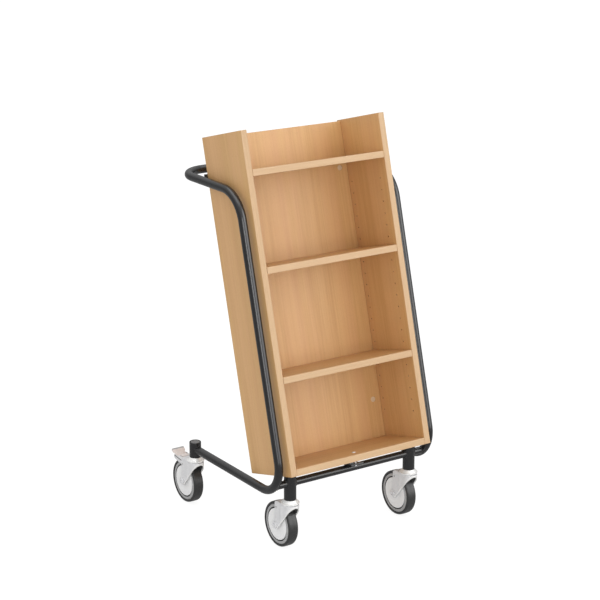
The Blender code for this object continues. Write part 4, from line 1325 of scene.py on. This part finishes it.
def add_welds(weld, tube_x, base):
    """Seams round every place where tube meets tube."""
    bar_y, bar_z = crossbar_place()
    seams = []
    for side_name, side in SIDES.items():
        low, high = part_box(f"rear_{side_name}_post")
        post = Vector((side * tube_x, (low.y + high.y) / 2, base))
        post_radius = (high.x - low.x) / 2
        seams.append(seam_points(post, (0, -1, 0), TUBE_RADIUS, post_radius, (0, 0, 1)))
        low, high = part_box(f"front_{side_name}_post")
        post = Vector(((low.x + high.x) / 2, bar_y, bar_z))
        for facing in (-1, 1):
            seams.append(seam_points(post, (facing, 0, 0), CROSSBAR_RADIUS, post_radius, (0, 0, 1)))
        along_bend = Vector((0.0, 1.0, -1.0)).normalized()
        joint = Vector((side * tube_x, bar_y, bar_z))
        seams.append(seam_points(joint, (-side, 0, 0), CROSSBAR_RADIUS, TUBE_RADIUS, along_bend))
    beads = []
    for index, points in enumerate(seams):
        sizes = {"Bead": WELD_BEAD, "Pitch": WELD_PITCH, "Seed": index, "Finish": COAT}
        beads.append(weld.grow(path_mesh(points, cyclic=True), sizes))
    mesh = joined(beads)
    mesh.shade_smooth()
    add_piece("frame_welds", mesh, "trolley", [COAT])


def screw_section(radius, rounding, head, shank, tip, point=0.0):
    """Section of a round-headed screw, from the top of its head at Z = 0 down to its tip."""
    dome = arc((radius - rounding, -rounding), rounding, math.pi / 2, 0.0, ARC_STEPS)
    below = [(radius, -head), (shank, -head), (shank, tip + point), (0.0, tip)]
    return [(0.0, 0.0)] + dome + below


def add_lug_screws(row):
    """Round-headed screws through the lugs into the back panel."""
    left_low, left_high = case_box("left_lug_screw")
    right_low, right_high = case_box("right_lug_screw")
    radius = (left_high.x - left_low.x) / 2
    tip = left_low.y - left_high.y
    section = screw_section(radius, SCREW_ROUND, SCREW_HEAD, SCREW_SHANK, tip, SCREW_POINT)
    screw = cut_away(turned(section, SCREW_SIDES), cross_slot(CROSS_LENGTH, CROSS_WIDTH, CROSS_DEPTH))
    to_back = Matrix.Rotation(-math.pi / 2, 4, "X")
    first = (left_low + left_high) / 2
    last = (right_low + right_high) / 2
    first.y = left_high.y
    last.y = right_high.y
    sizes = {"Count": 2, "First": first, "Pitch": last - first, "Finish": ZINC}
    pair = moved(row.grow(settle(moved(screw, to_back)), sizes), CASE_TURN)
    nodes = [f"{side_name}_lug_screw" for side_name in SIDES]
    add_piece("lug_screw_pair", pair, "trolley", stands_for=nodes)


def add_centre_bolt():
    """Low round head on the bottom shelf, with a hexagon socket."""
    low, high = case_box("centre_bolt")
    radius = (high.x - low.x) / 2
    section = screw_section(radius, BOLT_ROUND, BOLT_HEAD, BOLT_SHANK, low.z - high.z)
    socket = upright_rod(-SOCKET_DEPTH, DRILL_PAST, SOCKET_RADIUS, HEXAGON)
    bolt = settle(cut_away(turned(section, SCREW_SIDES), [socket]))
    place = Vector(((low.x + high.x) / 2, (low.y + high.y) / 2, high.z))
    mesh = moved(bolt, CASE_TURN @ Matrix.Translation(place))
    add_piece("centre_bolt_head", mesh, "trolley", [ZINC], ["centre_bolt"])


def leg_edge():
    """Front edge of a fork leg in side view: from the boss to a knee and on to the top of the arch."""
    trail, axle = WHEEL_PLACE
    ahead = FORK_BOSS * math.cos(FORK_FRONT_ANGLE)
    foot = (trail + ahead, axle + FORK_BOSS * math.sin(FORK_FRONT_ANGLE))
    knee = (FORK_KNEE, foot[1] + (FORK_KNEE - foot[0]) * math.tan(FORK_SLOPE))
    return [foot, knee, FORK_ARCH_TOP]


def leg_outline(rear_round):
    """Side view of a fork leg, behind the swivel axis and above the floor."""
    trail, axle = WHEEL_PLACE
    top = CROWN_LOW + (DECK_HIGH - CROWN_LOW) / 2
    rear_angle = math.acos((FORK_REAR_EDGE - trail) / FORK_BOSS)
    boss = arc((trail, axle), FORK_BOSS, rear_angle, FORK_FRONT_ANGLE, BOSS_STEPS)
    _, knee, arch_top = leg_edge()
    front = [knee, arch_top, (arch_top[0] - DRILL_PAST, top)]
    rear = [(FORK_REAR_EDGE, top)]
    if rear_round:
        shoulder = (FORK_REAR_EDGE - rear_round, top - rear_round)
        rear = arc(shoulder, rear_round, math.pi / 2, 0.0, ARC_STEPS)
    return front + rear + boss


def fork_plan():
    """Top view of the bent sheet: two legs joined by a round front."""
    centre = (0.0, FORK_FRONT_CENTRE)
    inner = FORK_HALF - FORK_SHEET
    rear = WHEEL_PLACE[0] + FORK_BOSS + DRILL_PAST
    outside = arc(centre, FORK_HALF, 0.0, -math.pi, FRONT_STEPS)
    inside = arc(centre, inner, -math.pi, 0.0, FRONT_STEPS)
    left_end = [(-FORK_HALF, rear), (-inner, rear)]
    return [(FORK_HALF, rear)] + outside + left_end + inside + [(inner, rear)]


def side_view(outline, near, far):
    """A side outline of setback and height, given a width from near to far across."""
    stand = Matrix(((0, 0, 1, 0), (1, 0, 0, 0), (0, 1, 0, 0), (0, 0, 0, 1)))
    return moved(extruded(outline, near, far), stand)


def fork_rim(tube):
    """The rolled edge along the fork's front opening, from one leg over the front to the other."""
    middle = FORK_HALF - FORK_SHEET / 2
    foot, knee, arch_top = leg_edge()
    bend = arc((0.0, FORK_FRONT_CENTRE), middle, 0.0, -math.pi, FRONT_STEPS)
    plan = [(middle, foot[0]), (middle, knee[0])] + bend + [(-middle, knee[0]), (-middle, foot[0])]
    inward = Vector((-math.sin(FORK_SLOPE), math.cos(FORK_SLOPE))) * -FORK_RIM_INSET
    points = []
    for across, along in plan:
        low, high = (foot, knee) if along >= knee[0] else (knee, arch_top)
        rise = (high[1] - low[1]) / (high[0] - low[0])
        points.append((across, along + inward.x, low[1] + (along - low[0]) * rise + inward.y))
    sizes = {"Radius": FORK_RIM, "Sides": FORK_RIM_SIDES, "Bend Steps": 1, "Finish": ZINC}
    return tube.grow(path_mesh(points, bends=[0.0] * len(points)), sizes)


def fork_swells():
    """The long low swell pressed outward in each leg."""
    swell = arc((0.0, FORK_SWELL_PLACE), FORK_SWELL_HALF, math.pi / 2, -math.pi / 2, ARC_STEPS)
    root = FORK_HALF - FORK_SWELL_ROOT
    swells = []
    for side in SIDES.values():
        outline = []
        for across, along in swell:
            raised = FORK_SWELL_HIGH * (across / FORK_SWELL_HALF) ** 2
            outline.append((side * (FORK_HALF + raised), along))
        outline += [(side * root, swell[-1][1]), (side * root, swell[0][1])]
        swells.append(extruded(outline, *FORK_SWELL_LEVELS))
    return swells


def fork_blank(tube, rear_round):
    """Bent sheet with its swells, round crown, deck and rolled edge, all corners still sharp."""
    crown = [(0.0, CROWN_HIGH), (CROWN_RADIUS, CROWN_HIGH), (CROWN_RADIUS, CROWN_LOW), (0.0, CROWN_LOW)]
    front = arc((0.0, FORK_FRONT_CENTRE), FORK_HALF, 0.0, -math.pi, FRONT_STEPS)
    deck_rear = FORK_REAR_EDGE - rear_round
    deck = [(FORK_HALF, deck_rear)] + front + [(-FORK_HALF, deck_rear)]
    steps = [("UNION", swell) for swell in fork_swells()]
    steps += [
        ("INTERSECT", side_view(leg_outline(rear_round), -CUP_RADIUS, CUP_RADIUS)),
        ("UNION", turned(crown, HEAD_SIDES)),
        ("UNION", extruded(deck, CROWN_LOW, DECK_HIGH)),
        ("UNION", fork_rim(tube)),
    ]
    return carved(extruded(fork_plan(), 0.0, CROWN_HIGH), steps)


def fork_mesh(tube, rear_round):
    """The pressed fork with its holes, a painted highlight along its rolled edge and painted shade on
    its inner faces.
    """
    half = FORK_HALF + DRILL_PAST
    holes = [
        upright_rod(CROWN_LOW - DRILL_PAST, CROWN_HIGH + DRILL_PAST, KINGPIN_BORE, BORE_SIDES),
        cross_rod(half, WHEEL_PLACE, AXLE_BORE, BORE_SIDES),
        cross_rod(half, FORK_PIN_HOLE_PLACE, FORK_PIN_HOLE, FORK_PIN_HOLE_SIDES),
    ]
    fork = cut_away(softened(fork_blank(tube, rear_round)), holes)
    edge = [Vector(point) for point in leg_edge()]
    for face in fork.polygons:
        place = face.center.yz
        from_middle = math.hypot(face.center.x, min(0.0, face.center.y - FORK_FRONT_CENTRE))
        # Faces inside the sheet get dark zinc: painted shade where legs and deck keep the light off
        if from_middle < FORK_HALF - FORK_SHEET / 2 and face.center.z < DECK_HIGH - FORK_SHEET / 4:
            face.material_index = PAINTED_SHADE_FINISH
        # Faces near the front edge get bright zinc: a painted highlight on the rolled edge
        for start, end in zip(edge, edge[1:]):
            run = end - start
            share = min(1.0, max(0.0, (place - start).dot(run) / run.length_squared))
            if (place - start - run * share).length < FORK_RIM_HIGHLIGHT_REACH:
                face.material_index = SECOND_FINISH
    return fork


def cup_mesh(low, high):
    """The swivel head's upper cup, domed down to a straight lip."""
    lip = low + CUP_LIP
    corners = [
        ((KINGPIN_BORE, high), 0.0),
        ((CUP_TOP_RADIUS, high), CUP_TOP_ROUND),
        ((CUP_RADIUS - CUP_NECK_INSET, lip + CUP_NECK_RISE), CUP_NECK_ROUND),
        ((CUP_RADIUS, lip), CUP_LIP_ROUND),
        ((CUP_RADIUS, low), CUP_FOOT_ROUND),
        ((KINGPIN_BORE, low), 0.0),
    ]
    return settle(turned(rounded_outline(corners), HEAD_SIDES))


def along_axle(mesh):
    """Turn a wheel part from its own Z axis onto the axle."""
    trail, axle = WHEEL_PLACE
    return moved(mesh, Matrix.Translation((0.0, trail, axle)) @ Matrix.Rotation(math.pi / 2, 4, "Y"))


def both_faces(profile):
    """A half section mirrored to the wheel's other face."""
    return profile + [(radius, -height) for radius, height in reversed(profile)]


def tyre_mesh():
    """Tyre with round shoulders and a fine moulding line round its middle."""
    corners = [
        ((RIM_RADIUS + TYRE_ROOM, TYRE_HALF - TYRE_FOOT_SLOPE), 0.0),
        ((RIM_RADIUS + TYRE_FOOT_EDGE, TYRE_HALF), TYRE_FOOT_ROUND),
        ((TYRE_RADIUS - TYRE_CROWN, TYRE_HALF), TYRE_SHOULDER),
        ((TYRE_RADIUS, TREAD_FLAT_HALF), 0.0),
        ((TYRE_RADIUS, MOULD_LINE_HALF), 0.0),
        ((TYRE_RADIUS - MOULD_LINE_DEEP, MOULD_LINE_FLOOR), 0.0),
    ]
    return settle(turned(both_faces(rounded_outline(corners, cyclic=False)), WHEEL_SIDES))


def hub_mesh():
    """Wheel centre: boss, thin web and a rim with a rounded lip round the side discs; web and recess
    wall seen in the gap are painted near-black as shade.
    """
    corners = [
        ((AXLE_BORE, HUB_BOSS_HALF), 0.0),
        ((HUB_BOSS, HUB_BOSS_HALF), HUB_BOSS_ROUND),
        ((HUB_BOSS, WEB_HALF), WEB_ROUND),
        ((RECESS_RADIUS, WEB_HALF), WEB_ROUND),
        ((RECESS_RADIUS + RECESS_SLOPE, RIM_HALF), RIM_LIP_ROUND),
        ((RIM_RADIUS - RIM_EDGE, RIM_HALF - RIM_EDGE_DROP), RIM_EDGE_ROUND),
        ((RIM_RADIUS, RIM_HALF - RIM_SIDE_DROP), 0.0),
    ]
    outline = rounded_outline(corners, cyclic=False, steps=HUB_ARC_STEPS)
    hub = settle(turned(both_faces(outline), WHEEL_SIDES))
    # Web and recess wall seen in the gap round the disc get near-black plastic: painted shade in that
    # gap
    for face in hub.polygons:
        from_axis = math.hypot(face.center.x, face.center.y)
        in_gap = abs(face.center.z) < RIM_HALF - GAP_LIP
        if in_gap and HUB_BOSS < from_axis < RECESS_RADIUS + GAP_LIP:
            face.material_index = SECOND_FINISH
    return hub


def disc_mesh():
    """Side disc, dished a little towards the middle, with a rolled outer edge."""
    middle = HUB_BOSS + DISC_ROOM
    low = WEB_HALF + DISC_ROOM
    corners = [
        ((middle, DISC_FACE - DISC_DISH), 0.0),
        ((DISH_FROM, DISC_FACE - DISC_DISH), DISH_ROUND),
        ((DISH_TO, DISC_FACE), DISH_ROUND),
        ((DISC_RADIUS - DISC_EDGE, DISC_FACE), DISC_EDGE_ROUND),
        ((DISC_RADIUS, DISC_FACE - DISC_EDGE_DROP), DISC_EDGE_ROUND),
        ((DISC_RADIUS, low), 0.0),
        ((middle, low), 0.0),
    ]
    return settle(turned(rounded_outline(corners), WHEEL_SIDES))


def axle_mesh():
    """Axle with a flanged hexagon head at one end and a flanged nut at the other."""
    seat = FORK_HALF + AXLE_SEAT_ROOM
    shaft_end = seat + AXLE_INTO_HEAD
    flange_end = seat + FLANGE_HEIGHT
    head_end = seat + HEX_HEIGHT
    parts = [upright_rod(-shaft_end, shaft_end, AXLE_RADIUS, AXLE_SIDES)]
    for facing in (-1, 1):
        flange = upright_rod(facing * seat, facing * flange_end, FLANGE_RADIUS, FLANGE_SIDES)
        parts.append(bevelled(flange, FLANGE_ROUND))
        head_from = facing * (flange_end - HEX_INTO_FLANGE)
        head = upright_rod(head_from, facing * head_end, HEX_RADIUS, HEXAGON)
        dimple_from = facing * (head_end - AXLE_DIMPLE_DEPTH)
        dimple = upright_rod(dimple_from, facing * (head_end + DRILL_PAST), AXLE_DIMPLE, AXLE_SIDES)
        parts.append(cut_away(bevelled(head, HEX_ROUND), [dimple]))
    return settle(joined(parts))


def button_mesh():
    """Round button with a shallow dish, down to its root in the brake housing's sheet."""
    root = BRAKE_HIGH - FORK_SHEET + BUTTON_ROOT
    dish = BUTTON_RADIUS - BUTTON_RIM
    corners = [
        ((0.0, BUTTON_HIGH - BUTTON_DISH), 0.0),
        ((dish, BUTTON_HIGH - BUTTON_DISH), 0.0),
        ((dish + BUTTON_DISH, BUTTON_HIGH), 0.0),
        ((BUTTON_RADIUS, BUTTON_HIGH), BUTTON_ROUND),
        ((BUTTON_RADIUS, root), 0.0),
        ((0.0, root), 0.0),
    ]
    button = settle(turned(rounded_outline(corners, cyclic=False), BUTTON_SIDES))
    for face in button.polygons:
        face.material_index = SECOND_FINISH
    return moved(button, Matrix.Translation((0.0, BUTTON_PLACE, 0.0)))


def housing_blank():
    """Folded sheet of the brake housing: open below, and above where the pedal moves."""
    corners = [
        ((BRAKE_FRONT, BRAKE_LOW), 0.0),
        ((BRAKE_SLOPE_FROM, BRAKE_LOW), BRAKE_BELLY_ROUND),
        ((BRAKE_END, BRAKE_END_LOW), BRAKE_END_ROUND),
        ((BRAKE_END, BRAKE_HIGH), BRAKE_END_ROUND),
        ((BRAKE_FRONT, BRAKE_HIGH), 0.0),
    ]
    inner = FORK_HALF - FORK_SHEET
    hollows = [
        box((-inner, 0.0, 0.0), (inner, FAR, BRAKE_HIGH - FORK_SHEET)),
        box((-inner, BRAKE_OPEN_FROM, 0.0), (inner, BRAKE_END + DRILL_PAST, FAR)),
    ]
    return cut_away(side_view(rounded_outline(corners), -FORK_HALF, FORK_HALF), hollows)


def button_groove():
    """Cutter for the ring round the button."""
    low = BRAKE_HIGH - BUTTON_RING_DEPTH
    high = BRAKE_HIGH + DRILL_PAST
    inside = BUTTON_RADIUS - BUTTON_RING
    outside = BUTTON_RADIUS + BUTTON_RING
    ring = turned([(inside, high), (outside, high), (outside, low), (inside, low)], BUTTON_SIDES)
    return moved(ring, Matrix.Translation((0.0, BUTTON_PLACE, 0.0)))


def bracket_mesh():
    """Brake housing behind the fork, with a seam along each side painted dark as shade in its groove, a
    round button and the pedal's pin.
    """
    first = BRAKE_FRONT - DRILL_PAST
    last = BRAKE_END + DRILL_PAST
    first_level, last_level = BRAKE_SEAM_ENDS
    ends = [(first, first_level), (last, last_level)]
    seam = ends + [(along, level + BRAKE_SEAM) for along, level in reversed(ends)]
    grooves = [button_groove()]
    for side in SIDES.values():
        depths = sorted((side * (FORK_HALF - BRAKE_SEAM_DEPTH), side * (FORK_HALF + DRILL_PAST)))
        grooves.append(side_view(seam, *depths))
    housing = cut_away(softened(housing_blank()), grooves)
    # Faces in each seam's groove get dark zinc: painted shade in the crease
    for face in housing.polygons:
        share = (face.center.y - first) / (last - first)
        over_seam = face.center.z - first_level - share * (last_level - first_level)
        if 0.0 < over_seam < BRAKE_SEAM and abs(face.center.x) > FORK_HALF - FORK_SHEET:
            face.material_index = PAINTED_SHADE_FINISH
    housing.shade_smooth()
    housing.set_sharp_from_angle(angle=FOLD_SHARP)
    pin = settle(bevelled(cross_rod(PIN_HALF, PEDAL_PLACE, PIN_RADIUS, PIN_SIDES), PIN_ROUND))
    return joined([housing, pin, button_mesh()])


def pedal_mesh():
    """Foot pedal on its barrel, wider at the lip, with a grey band along its end."""
    full_from = PEDAL_LIP_START + PEDAL_LIP - PEDAL_ARM
    right = [
        ((PEDAL_ARM, 0.0), 0.0),
        ((PEDAL_ARM, PEDAL_LIP_START), PEDAL_FLARE_ROUND),
        ((PEDAL_LIP, full_from), PEDAL_FLARE_ROUND),
        ((PEDAL_LIP, PEDAL_LENGTH), PEDAL_CORNER),
    ]
    left = [((-across, along), radius) for (across, along), radius in reversed(right)]
    plate = extruded(rounded_outline(right + left), -PEDAL_SHEET / 2, PEDAL_SHEET / 2)
    plate = moved(plate, Matrix.Rotation(PEDAL_ANGLE, 4, "X"))
    pivot = (0.0, 0.0)
    barrel = cross_rod(PEDAL_HALF, pivot, PEDAL_BARREL, PEDAL_BARREL_SIDES)
    bore = cross_rod(FORK_HALF, pivot, PEDAL_BORE, PIN_SIDES)
    pedal = cut_away(softened(carved(plate, [("UNION", barrel)])), [bore])
    for face in pedal.polygons:
        along = face.center.y * math.cos(PEDAL_ANGLE) + face.center.z * math.sin(PEDAL_ANGLE)
        if along > PEDAL_BAND_FROM:
            face.material_index = SECOND_FINISH
    return pedal


def rib_mesh(row):
    """Grip ribs across the top of the pedal's lip."""
    rib = settle(bevelled(cross_rod(RIB_HALF, (0.0, 0.0), RIB_RADIUS, RIB_SIDES), RIB_ROUND))
    sizes = {
        "Count": RIB_COUNT,
        "First": (0.0, RIB_FIRST, PEDAL_SHEET / 2),
        "Pitch": (0.0, RIB_PITCH, 0.0),
        "Finish": PEDAL_GREY,
    }
    return moved(row.grow(rib, sizes), Matrix.Rotation(PEDAL_ANGLE, 4, "X"))


def add_caster(name, shapes):
    """One caster: the cup stays with the frame, the fork swivels and the wheel rolls in it."""
    swivel = Vector(JOINTS[f"{name}_swivel"]["pos_m"])
    stand = Matrix.Translation((swivel.x, swivel.y, 0.0))
    rows = [
        ("cup", "trolley", "bright_zinc", [BRIGHT_ZINC_AND_RIM_HIGHLIGHT]),
        ("fork", f"{name}_caster", "zinc", [ZINC, BRIGHT_ZINC_AND_RIM_HIGHLIGHT, PAINTED_SHADE_ZINC]),
        ("axle", f"{name}_caster", "zinc", [ZINC]),
        ("hub", f"{name}_wheel", "grey_plastic", [GREY_PLASTIC, GAP_SHADE_PLASTIC]),
        ("left_disc", f"{name}_wheel", "pale_plastic", [PALE_PLASTIC]),
        ("right_disc", f"{name}_wheel", "pale_plastic", [PALE_PLASTIC]),
        ("tyre", f"{name}_wheel", "grey_rubber", [GREY_RUBBER]),
    ]
    if name in BRAKED:
        rows.append(("brake_bracket", f"{name}_caster", "zinc", [ZINC, PEDAL_GREY, PAINTED_SHADE_ZINC]))
        rows.append(("brake_pedal", f"{name}_pedal", "pedal_plastic", [PEDAL_GREY, GREY_PLASTIC]))
        rows.append(("pedal_ribs", f"{name}_pedal", "pedal_plastic", []))
    for part, body, slot, finishes in rows:
        shape = "braked_fork" if part == "fork" and name in BRAKED else part
        mesh = moved(shapes[shape].copy(), stand)
        node = f"{name}_{part}"
        stands_for = [node] if node in frame["nodes"] else []
        add_piece(f"{node}_look", mesh, body, finishes, stands_for)
    stem = frame["nodes"][f"{name}_stem"]
    stem.data.materials.clear()
    stem.data.materials.append(ZINC)


def add_casters(row, tube):
    _, cup_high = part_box("front_left_cup")
    on_pivot = Matrix.Translation((0.0, *PEDAL_PLACE))
    disc = disc_mesh()
    mirrored = disc.copy()
    mirrored.transform(Matrix.Rotation(math.pi, 4, "X"))
    shapes = {
        "cup": cup_mesh(CROWN_HIGH + CUP_CLEARANCE, cup_high.z),
        "fork": fork_mesh(tube, FORK_REAR_ROUND),
        "braked_fork": fork_mesh(tube, 0.0),
        "axle": along_axle(axle_mesh()),
        "hub": along_axle(hub_mesh()),
        "right_disc": along_axle(disc),
        "left_disc": along_axle(mirrored),
        "tyre": along_axle(tyre_mesh()),
        "brake_bracket": bracket_mesh(),
        "brake_pedal": moved(pedal_mesh(), on_pivot),
        "pedal_ribs": moved(rib_mesh(row), on_pivot),
    }
    for part in ("fork", "braked_fork", "brake_pedal"):
        shapes[part].shade_smooth()
    for name in CASTERS:
        add_caster(name, shapes)


def ray_kinds(graph):
    """1 for rays that see the background, straight or through glass, and 1 for those in gloss."""
    camera = graph.node("ShaderNodeLightPath", output="Is Camera Ray")
    seen = graph.math("MINIMUM", camera + camera.other("Is Transmission Ray"), 1.0)
    return seen, camera.other("Is Glossy Ray")


def add_floor():
    """Pale floor that shows white, keeps a soft shadow and is dimmer in gloss."""
    material, graph = new_finish("pale_floor")
    cloud = graph.noise(graph.on_object(), FLOOR_CLOUD, detail=2.0)
    pale = graph.mix(cloud, grey(FLOOR_DARK), grey(FLOOR_LIGHT))
    matt = graph.node("ShaderNodeBsdfDiffuse", {}, {"Color": pale})
    shown = graph.between(FLOOR_GLOW_SHARE, matt, graph.glow("Emission", FLOOR_GLOW))
    seen, in_gloss = ray_kinds(graph)
    unseen = graph.between(in_gloss, matt, graph.glow("Emission", FLOOR_IN_GLOSS))
    graph.node("ShaderNodeOutputMaterial", {}, {"Surface": graph.between(seen, unseen, shown)})
    build = bmesh.new()
    bmesh.ops.create_grid(build, x_segments=FLOOR_SQUARES, y_segments=FLOOR_SQUARES, size=FLOOR_HALF)
    floor = working(mesh_from(build))
    floor.name = "studio_floor"
    floor.data.materials.append(material)


def add_world():
    """Even light that is seen as white. Gloss sees walls that brighten upwards, and one bright wall."""
    world = bpy.data.worlds.new("studio")
    bpy.context.scene.world = world
    world.use_nodes = True
    world.node_tree.nodes.clear()
    graph = Graph(world.node_tree)
    towards = graph.node("ShaderNodeTexCoord", output="Generated")
    height = graph.node("ShaderNodeSeparateXYZ", {}, {"Vector": towards}, "Z")
    walls = graph.mix(graph.step(height, *WALL_LEVELS), grey(WALL_LOW), grey(WALL_HIGH))
    ceiling = graph.mix(graph.step(height, *CEILING_LEVELS), walls, WHITE)
    ways = {0: towards, 1: BRIGHT_WALL_WAY}
    nearness = graph.node("ShaderNodeVectorMath", {"operation": "DOT_PRODUCT"}, ways, "Value")
    room = graph.mix(graph.step(nearness, *BRIGHT_WALL_NEARNESS), ceiling, grey(BRIGHT_WALL))
    light = graph.glow("Background", ROOM_LIGHT)
    seen, in_gloss = ray_kinds(graph)
    unseen = graph.between(in_gloss, light, graph.glow("Background", ROOM_IN_GLOSS, room))
    both = graph.between(seen, unseen, graph.glow("Background", 1.0))
    graph.node("ShaderNodeOutputWorld", {}, {"Surface": both})


def add_lamp(name, azimuth, elevation, distance, size, power):
    """A soft square lamp aimed at the middle of the trolley."""
    turn = math.radians(azimuth)
    rise = math.radians(elevation)
    away = Vector((-math.sin(turn) * math.cos(rise), -math.cos(turn) * math.cos(rise), math.sin(rise)))
    data = bpy.data.lights.new(name, "AREA")
    data.shape = "SQUARE"
    data.size = size
    data.energy = power
    lamp = bpy.data.objects.new(name, data)
    bpy.context.scene.collection.objects.link(lamp)
    lamp.location = LAMP_TARGET + away * distance
    lamp.rotation_euler = (-away).to_track_quat("-Z", "Y").to_euler()


def add_camera():
    data = bpy.data.cameras.new("camera")
    data.lens = CAMERA_LENS
    data.sensor_width = CAMERA_SENSOR
    data.clip_end = CAMERA_FAR
    camera = bpy.data.objects.new("camera", data)
    bpy.context.scene.collection.objects.link(camera)
    camera.location = CAMERA_PLACE
    camera.rotation_euler = (math.pi / 2 + CAMERA_PITCH, 0.0, -CAMERA_YAW)
    bpy.context.scene.camera = camera


def add_studio():
    add_floor()
    add_world()
    for name, settings in LAMPS.items():
        add_lamp(name, *settings)
    add_camera()
    bpy.context.scene.view_settings.view_transform = "Standard"


def caster_place(joint):
    """Where a caster's joint lies, behind its swivel axis and above the floor."""
    place = JOINTS[joint]["pos_m"]
    return place[1] - JOINTS["rear_left_swivel"]["pos_m"][1], place[2]


WHEEL_PLACE = caster_place("rear_left_roll")
PEDAL_PLACE = caster_place("rear_left_brake")

BEECH = beech_finish(
    "beech_face",
    light=paint(0.628, 0.380, 0.161),
    dark=paint(0.542, 0.305, 0.117),
    rosy=paint(0.628, 0.353, 0.168),
    golden=paint(0.628, 0.379, 0.150),
    fleck=paint(0.35, 0.16, 0.060),
    band_share=0.36,
)
# Edge band: its own beech print, paler and greyer than the faces, the paleness partly a painted sheen of
# the front edges
BEECH_EDGE_AND_SHEEN = beech_finish(
    "beech_edge_band",
    light=paint(0.545, 0.360, 0.194),
    dark=paint(0.486, 0.306, 0.153),
    rosy=paint(0.539, 0.343, 0.187),
    golden=paint(0.547, 0.364, 0.191),
    fleck=paint(0.36, 0.20, 0.095),
    band_share=0.35,
)
CHIPBOARD = chipboard_finish()
COAT = coat_finish()
ZINC = zinc_finish(
    "zinc_plate", paint(0.80, 0.80, 0.81), paint(0.67, 0.67, 0.68), base_rough=0.30, metal=0.18
)
# Bright zinc of the cups, also laid on the fork's rolled edge as a painted highlight
BRIGHT_ZINC_AND_RIM_HIGHLIGHT = zinc_finish(
    "bright_zinc_plate", paint(0.90, 0.90, 0.89), paint(0.83, 0.83, 0.82), base_rough=0.26, metal=0.25
)
WARM_ZINC = zinc_finish(
    "warm_zinc_plate", paint(0.72, 0.57, 0.39), paint(0.62, 0.49, 0.33), base_rough=0.34, metal=0.15
)
# Dark zinc as painted shade on the fork's inner faces and in the brake housing's seams
PAINTED_SHADE_ZINC = zinc_finish("dull_zinc_plate", grey(0.20), grey(0.14), base_rough=0.45, metal=0.50)
GREY_PLASTIC = moulded_finish(
    "grey_wheel_plastic", grey(0.40), grey(0.33), base_rough=0.38, skin_scale=1500.0, skin_height=0.00006
)
PALE_PLASTIC = moulded_finish(
    "pale_disc_plastic", grey(0.84), grey(0.77), base_rough=0.34, skin_scale=1800.0, skin_height=0.00004
)
# Near-black plastic as painted shade in the gap round the wheel's discs
GAP_SHADE_PLASTIC = moulded_finish(
    "dark_web_plastic",
    grey(0.060),
    grey(0.040),
    base_rough=0.45,
    skin_scale=1500.0,
    skin_height=0.00006,
    gloss=0.25,
)
# Grey plastic as a painted reflection on the rear posts' caps
CAP_PAINTED_REFLECTION = moulded_finish(
    "grey_cap_plastic", grey(0.19), grey(0.13), base_rough=0.32, skin_scale=900.0, skin_height=0.00020
)
GREY_RUBBER = moulded_finish(
    "grey_tyre_rubber",
    grey(0.033),
    grey(0.023),
    base_rough=0.30,
    skin_scale=1200.0,
    skin_height=0.00010,
    gloss=0.45,
)
PEDAL_GREY = moulded_finish(
    "pedal_plastic",
    paint(0.78, 0.71, 0.68),
    paint(0.70, 0.63, 0.60),
    base_rough=0.40,
    skin_scale=1400.0,
    skin_height=0.00006,
)

drilled_rows = drill_tree()
bent_tube = tube_tree()
weld_seam = weld_tree()
part_row = row_tree()
add_side_panels(drilled_rows)
add_back(drilled_rows)
add_cam_locks(part_row)
add_shelves()
add_shelf_wires(bent_tube)
rail_x, rail_height = add_frame_tube(bent_tube)
add_rear_posts()
add_front_posts()
add_crossbar(rail_x)
add_lugs(rail_x)
add_welds(weld_seam, rail_x, rail_height)
add_lug_screws(part_row)
add_centre_bolt()
add_casters(part_row, bent_tube)
add_studio()
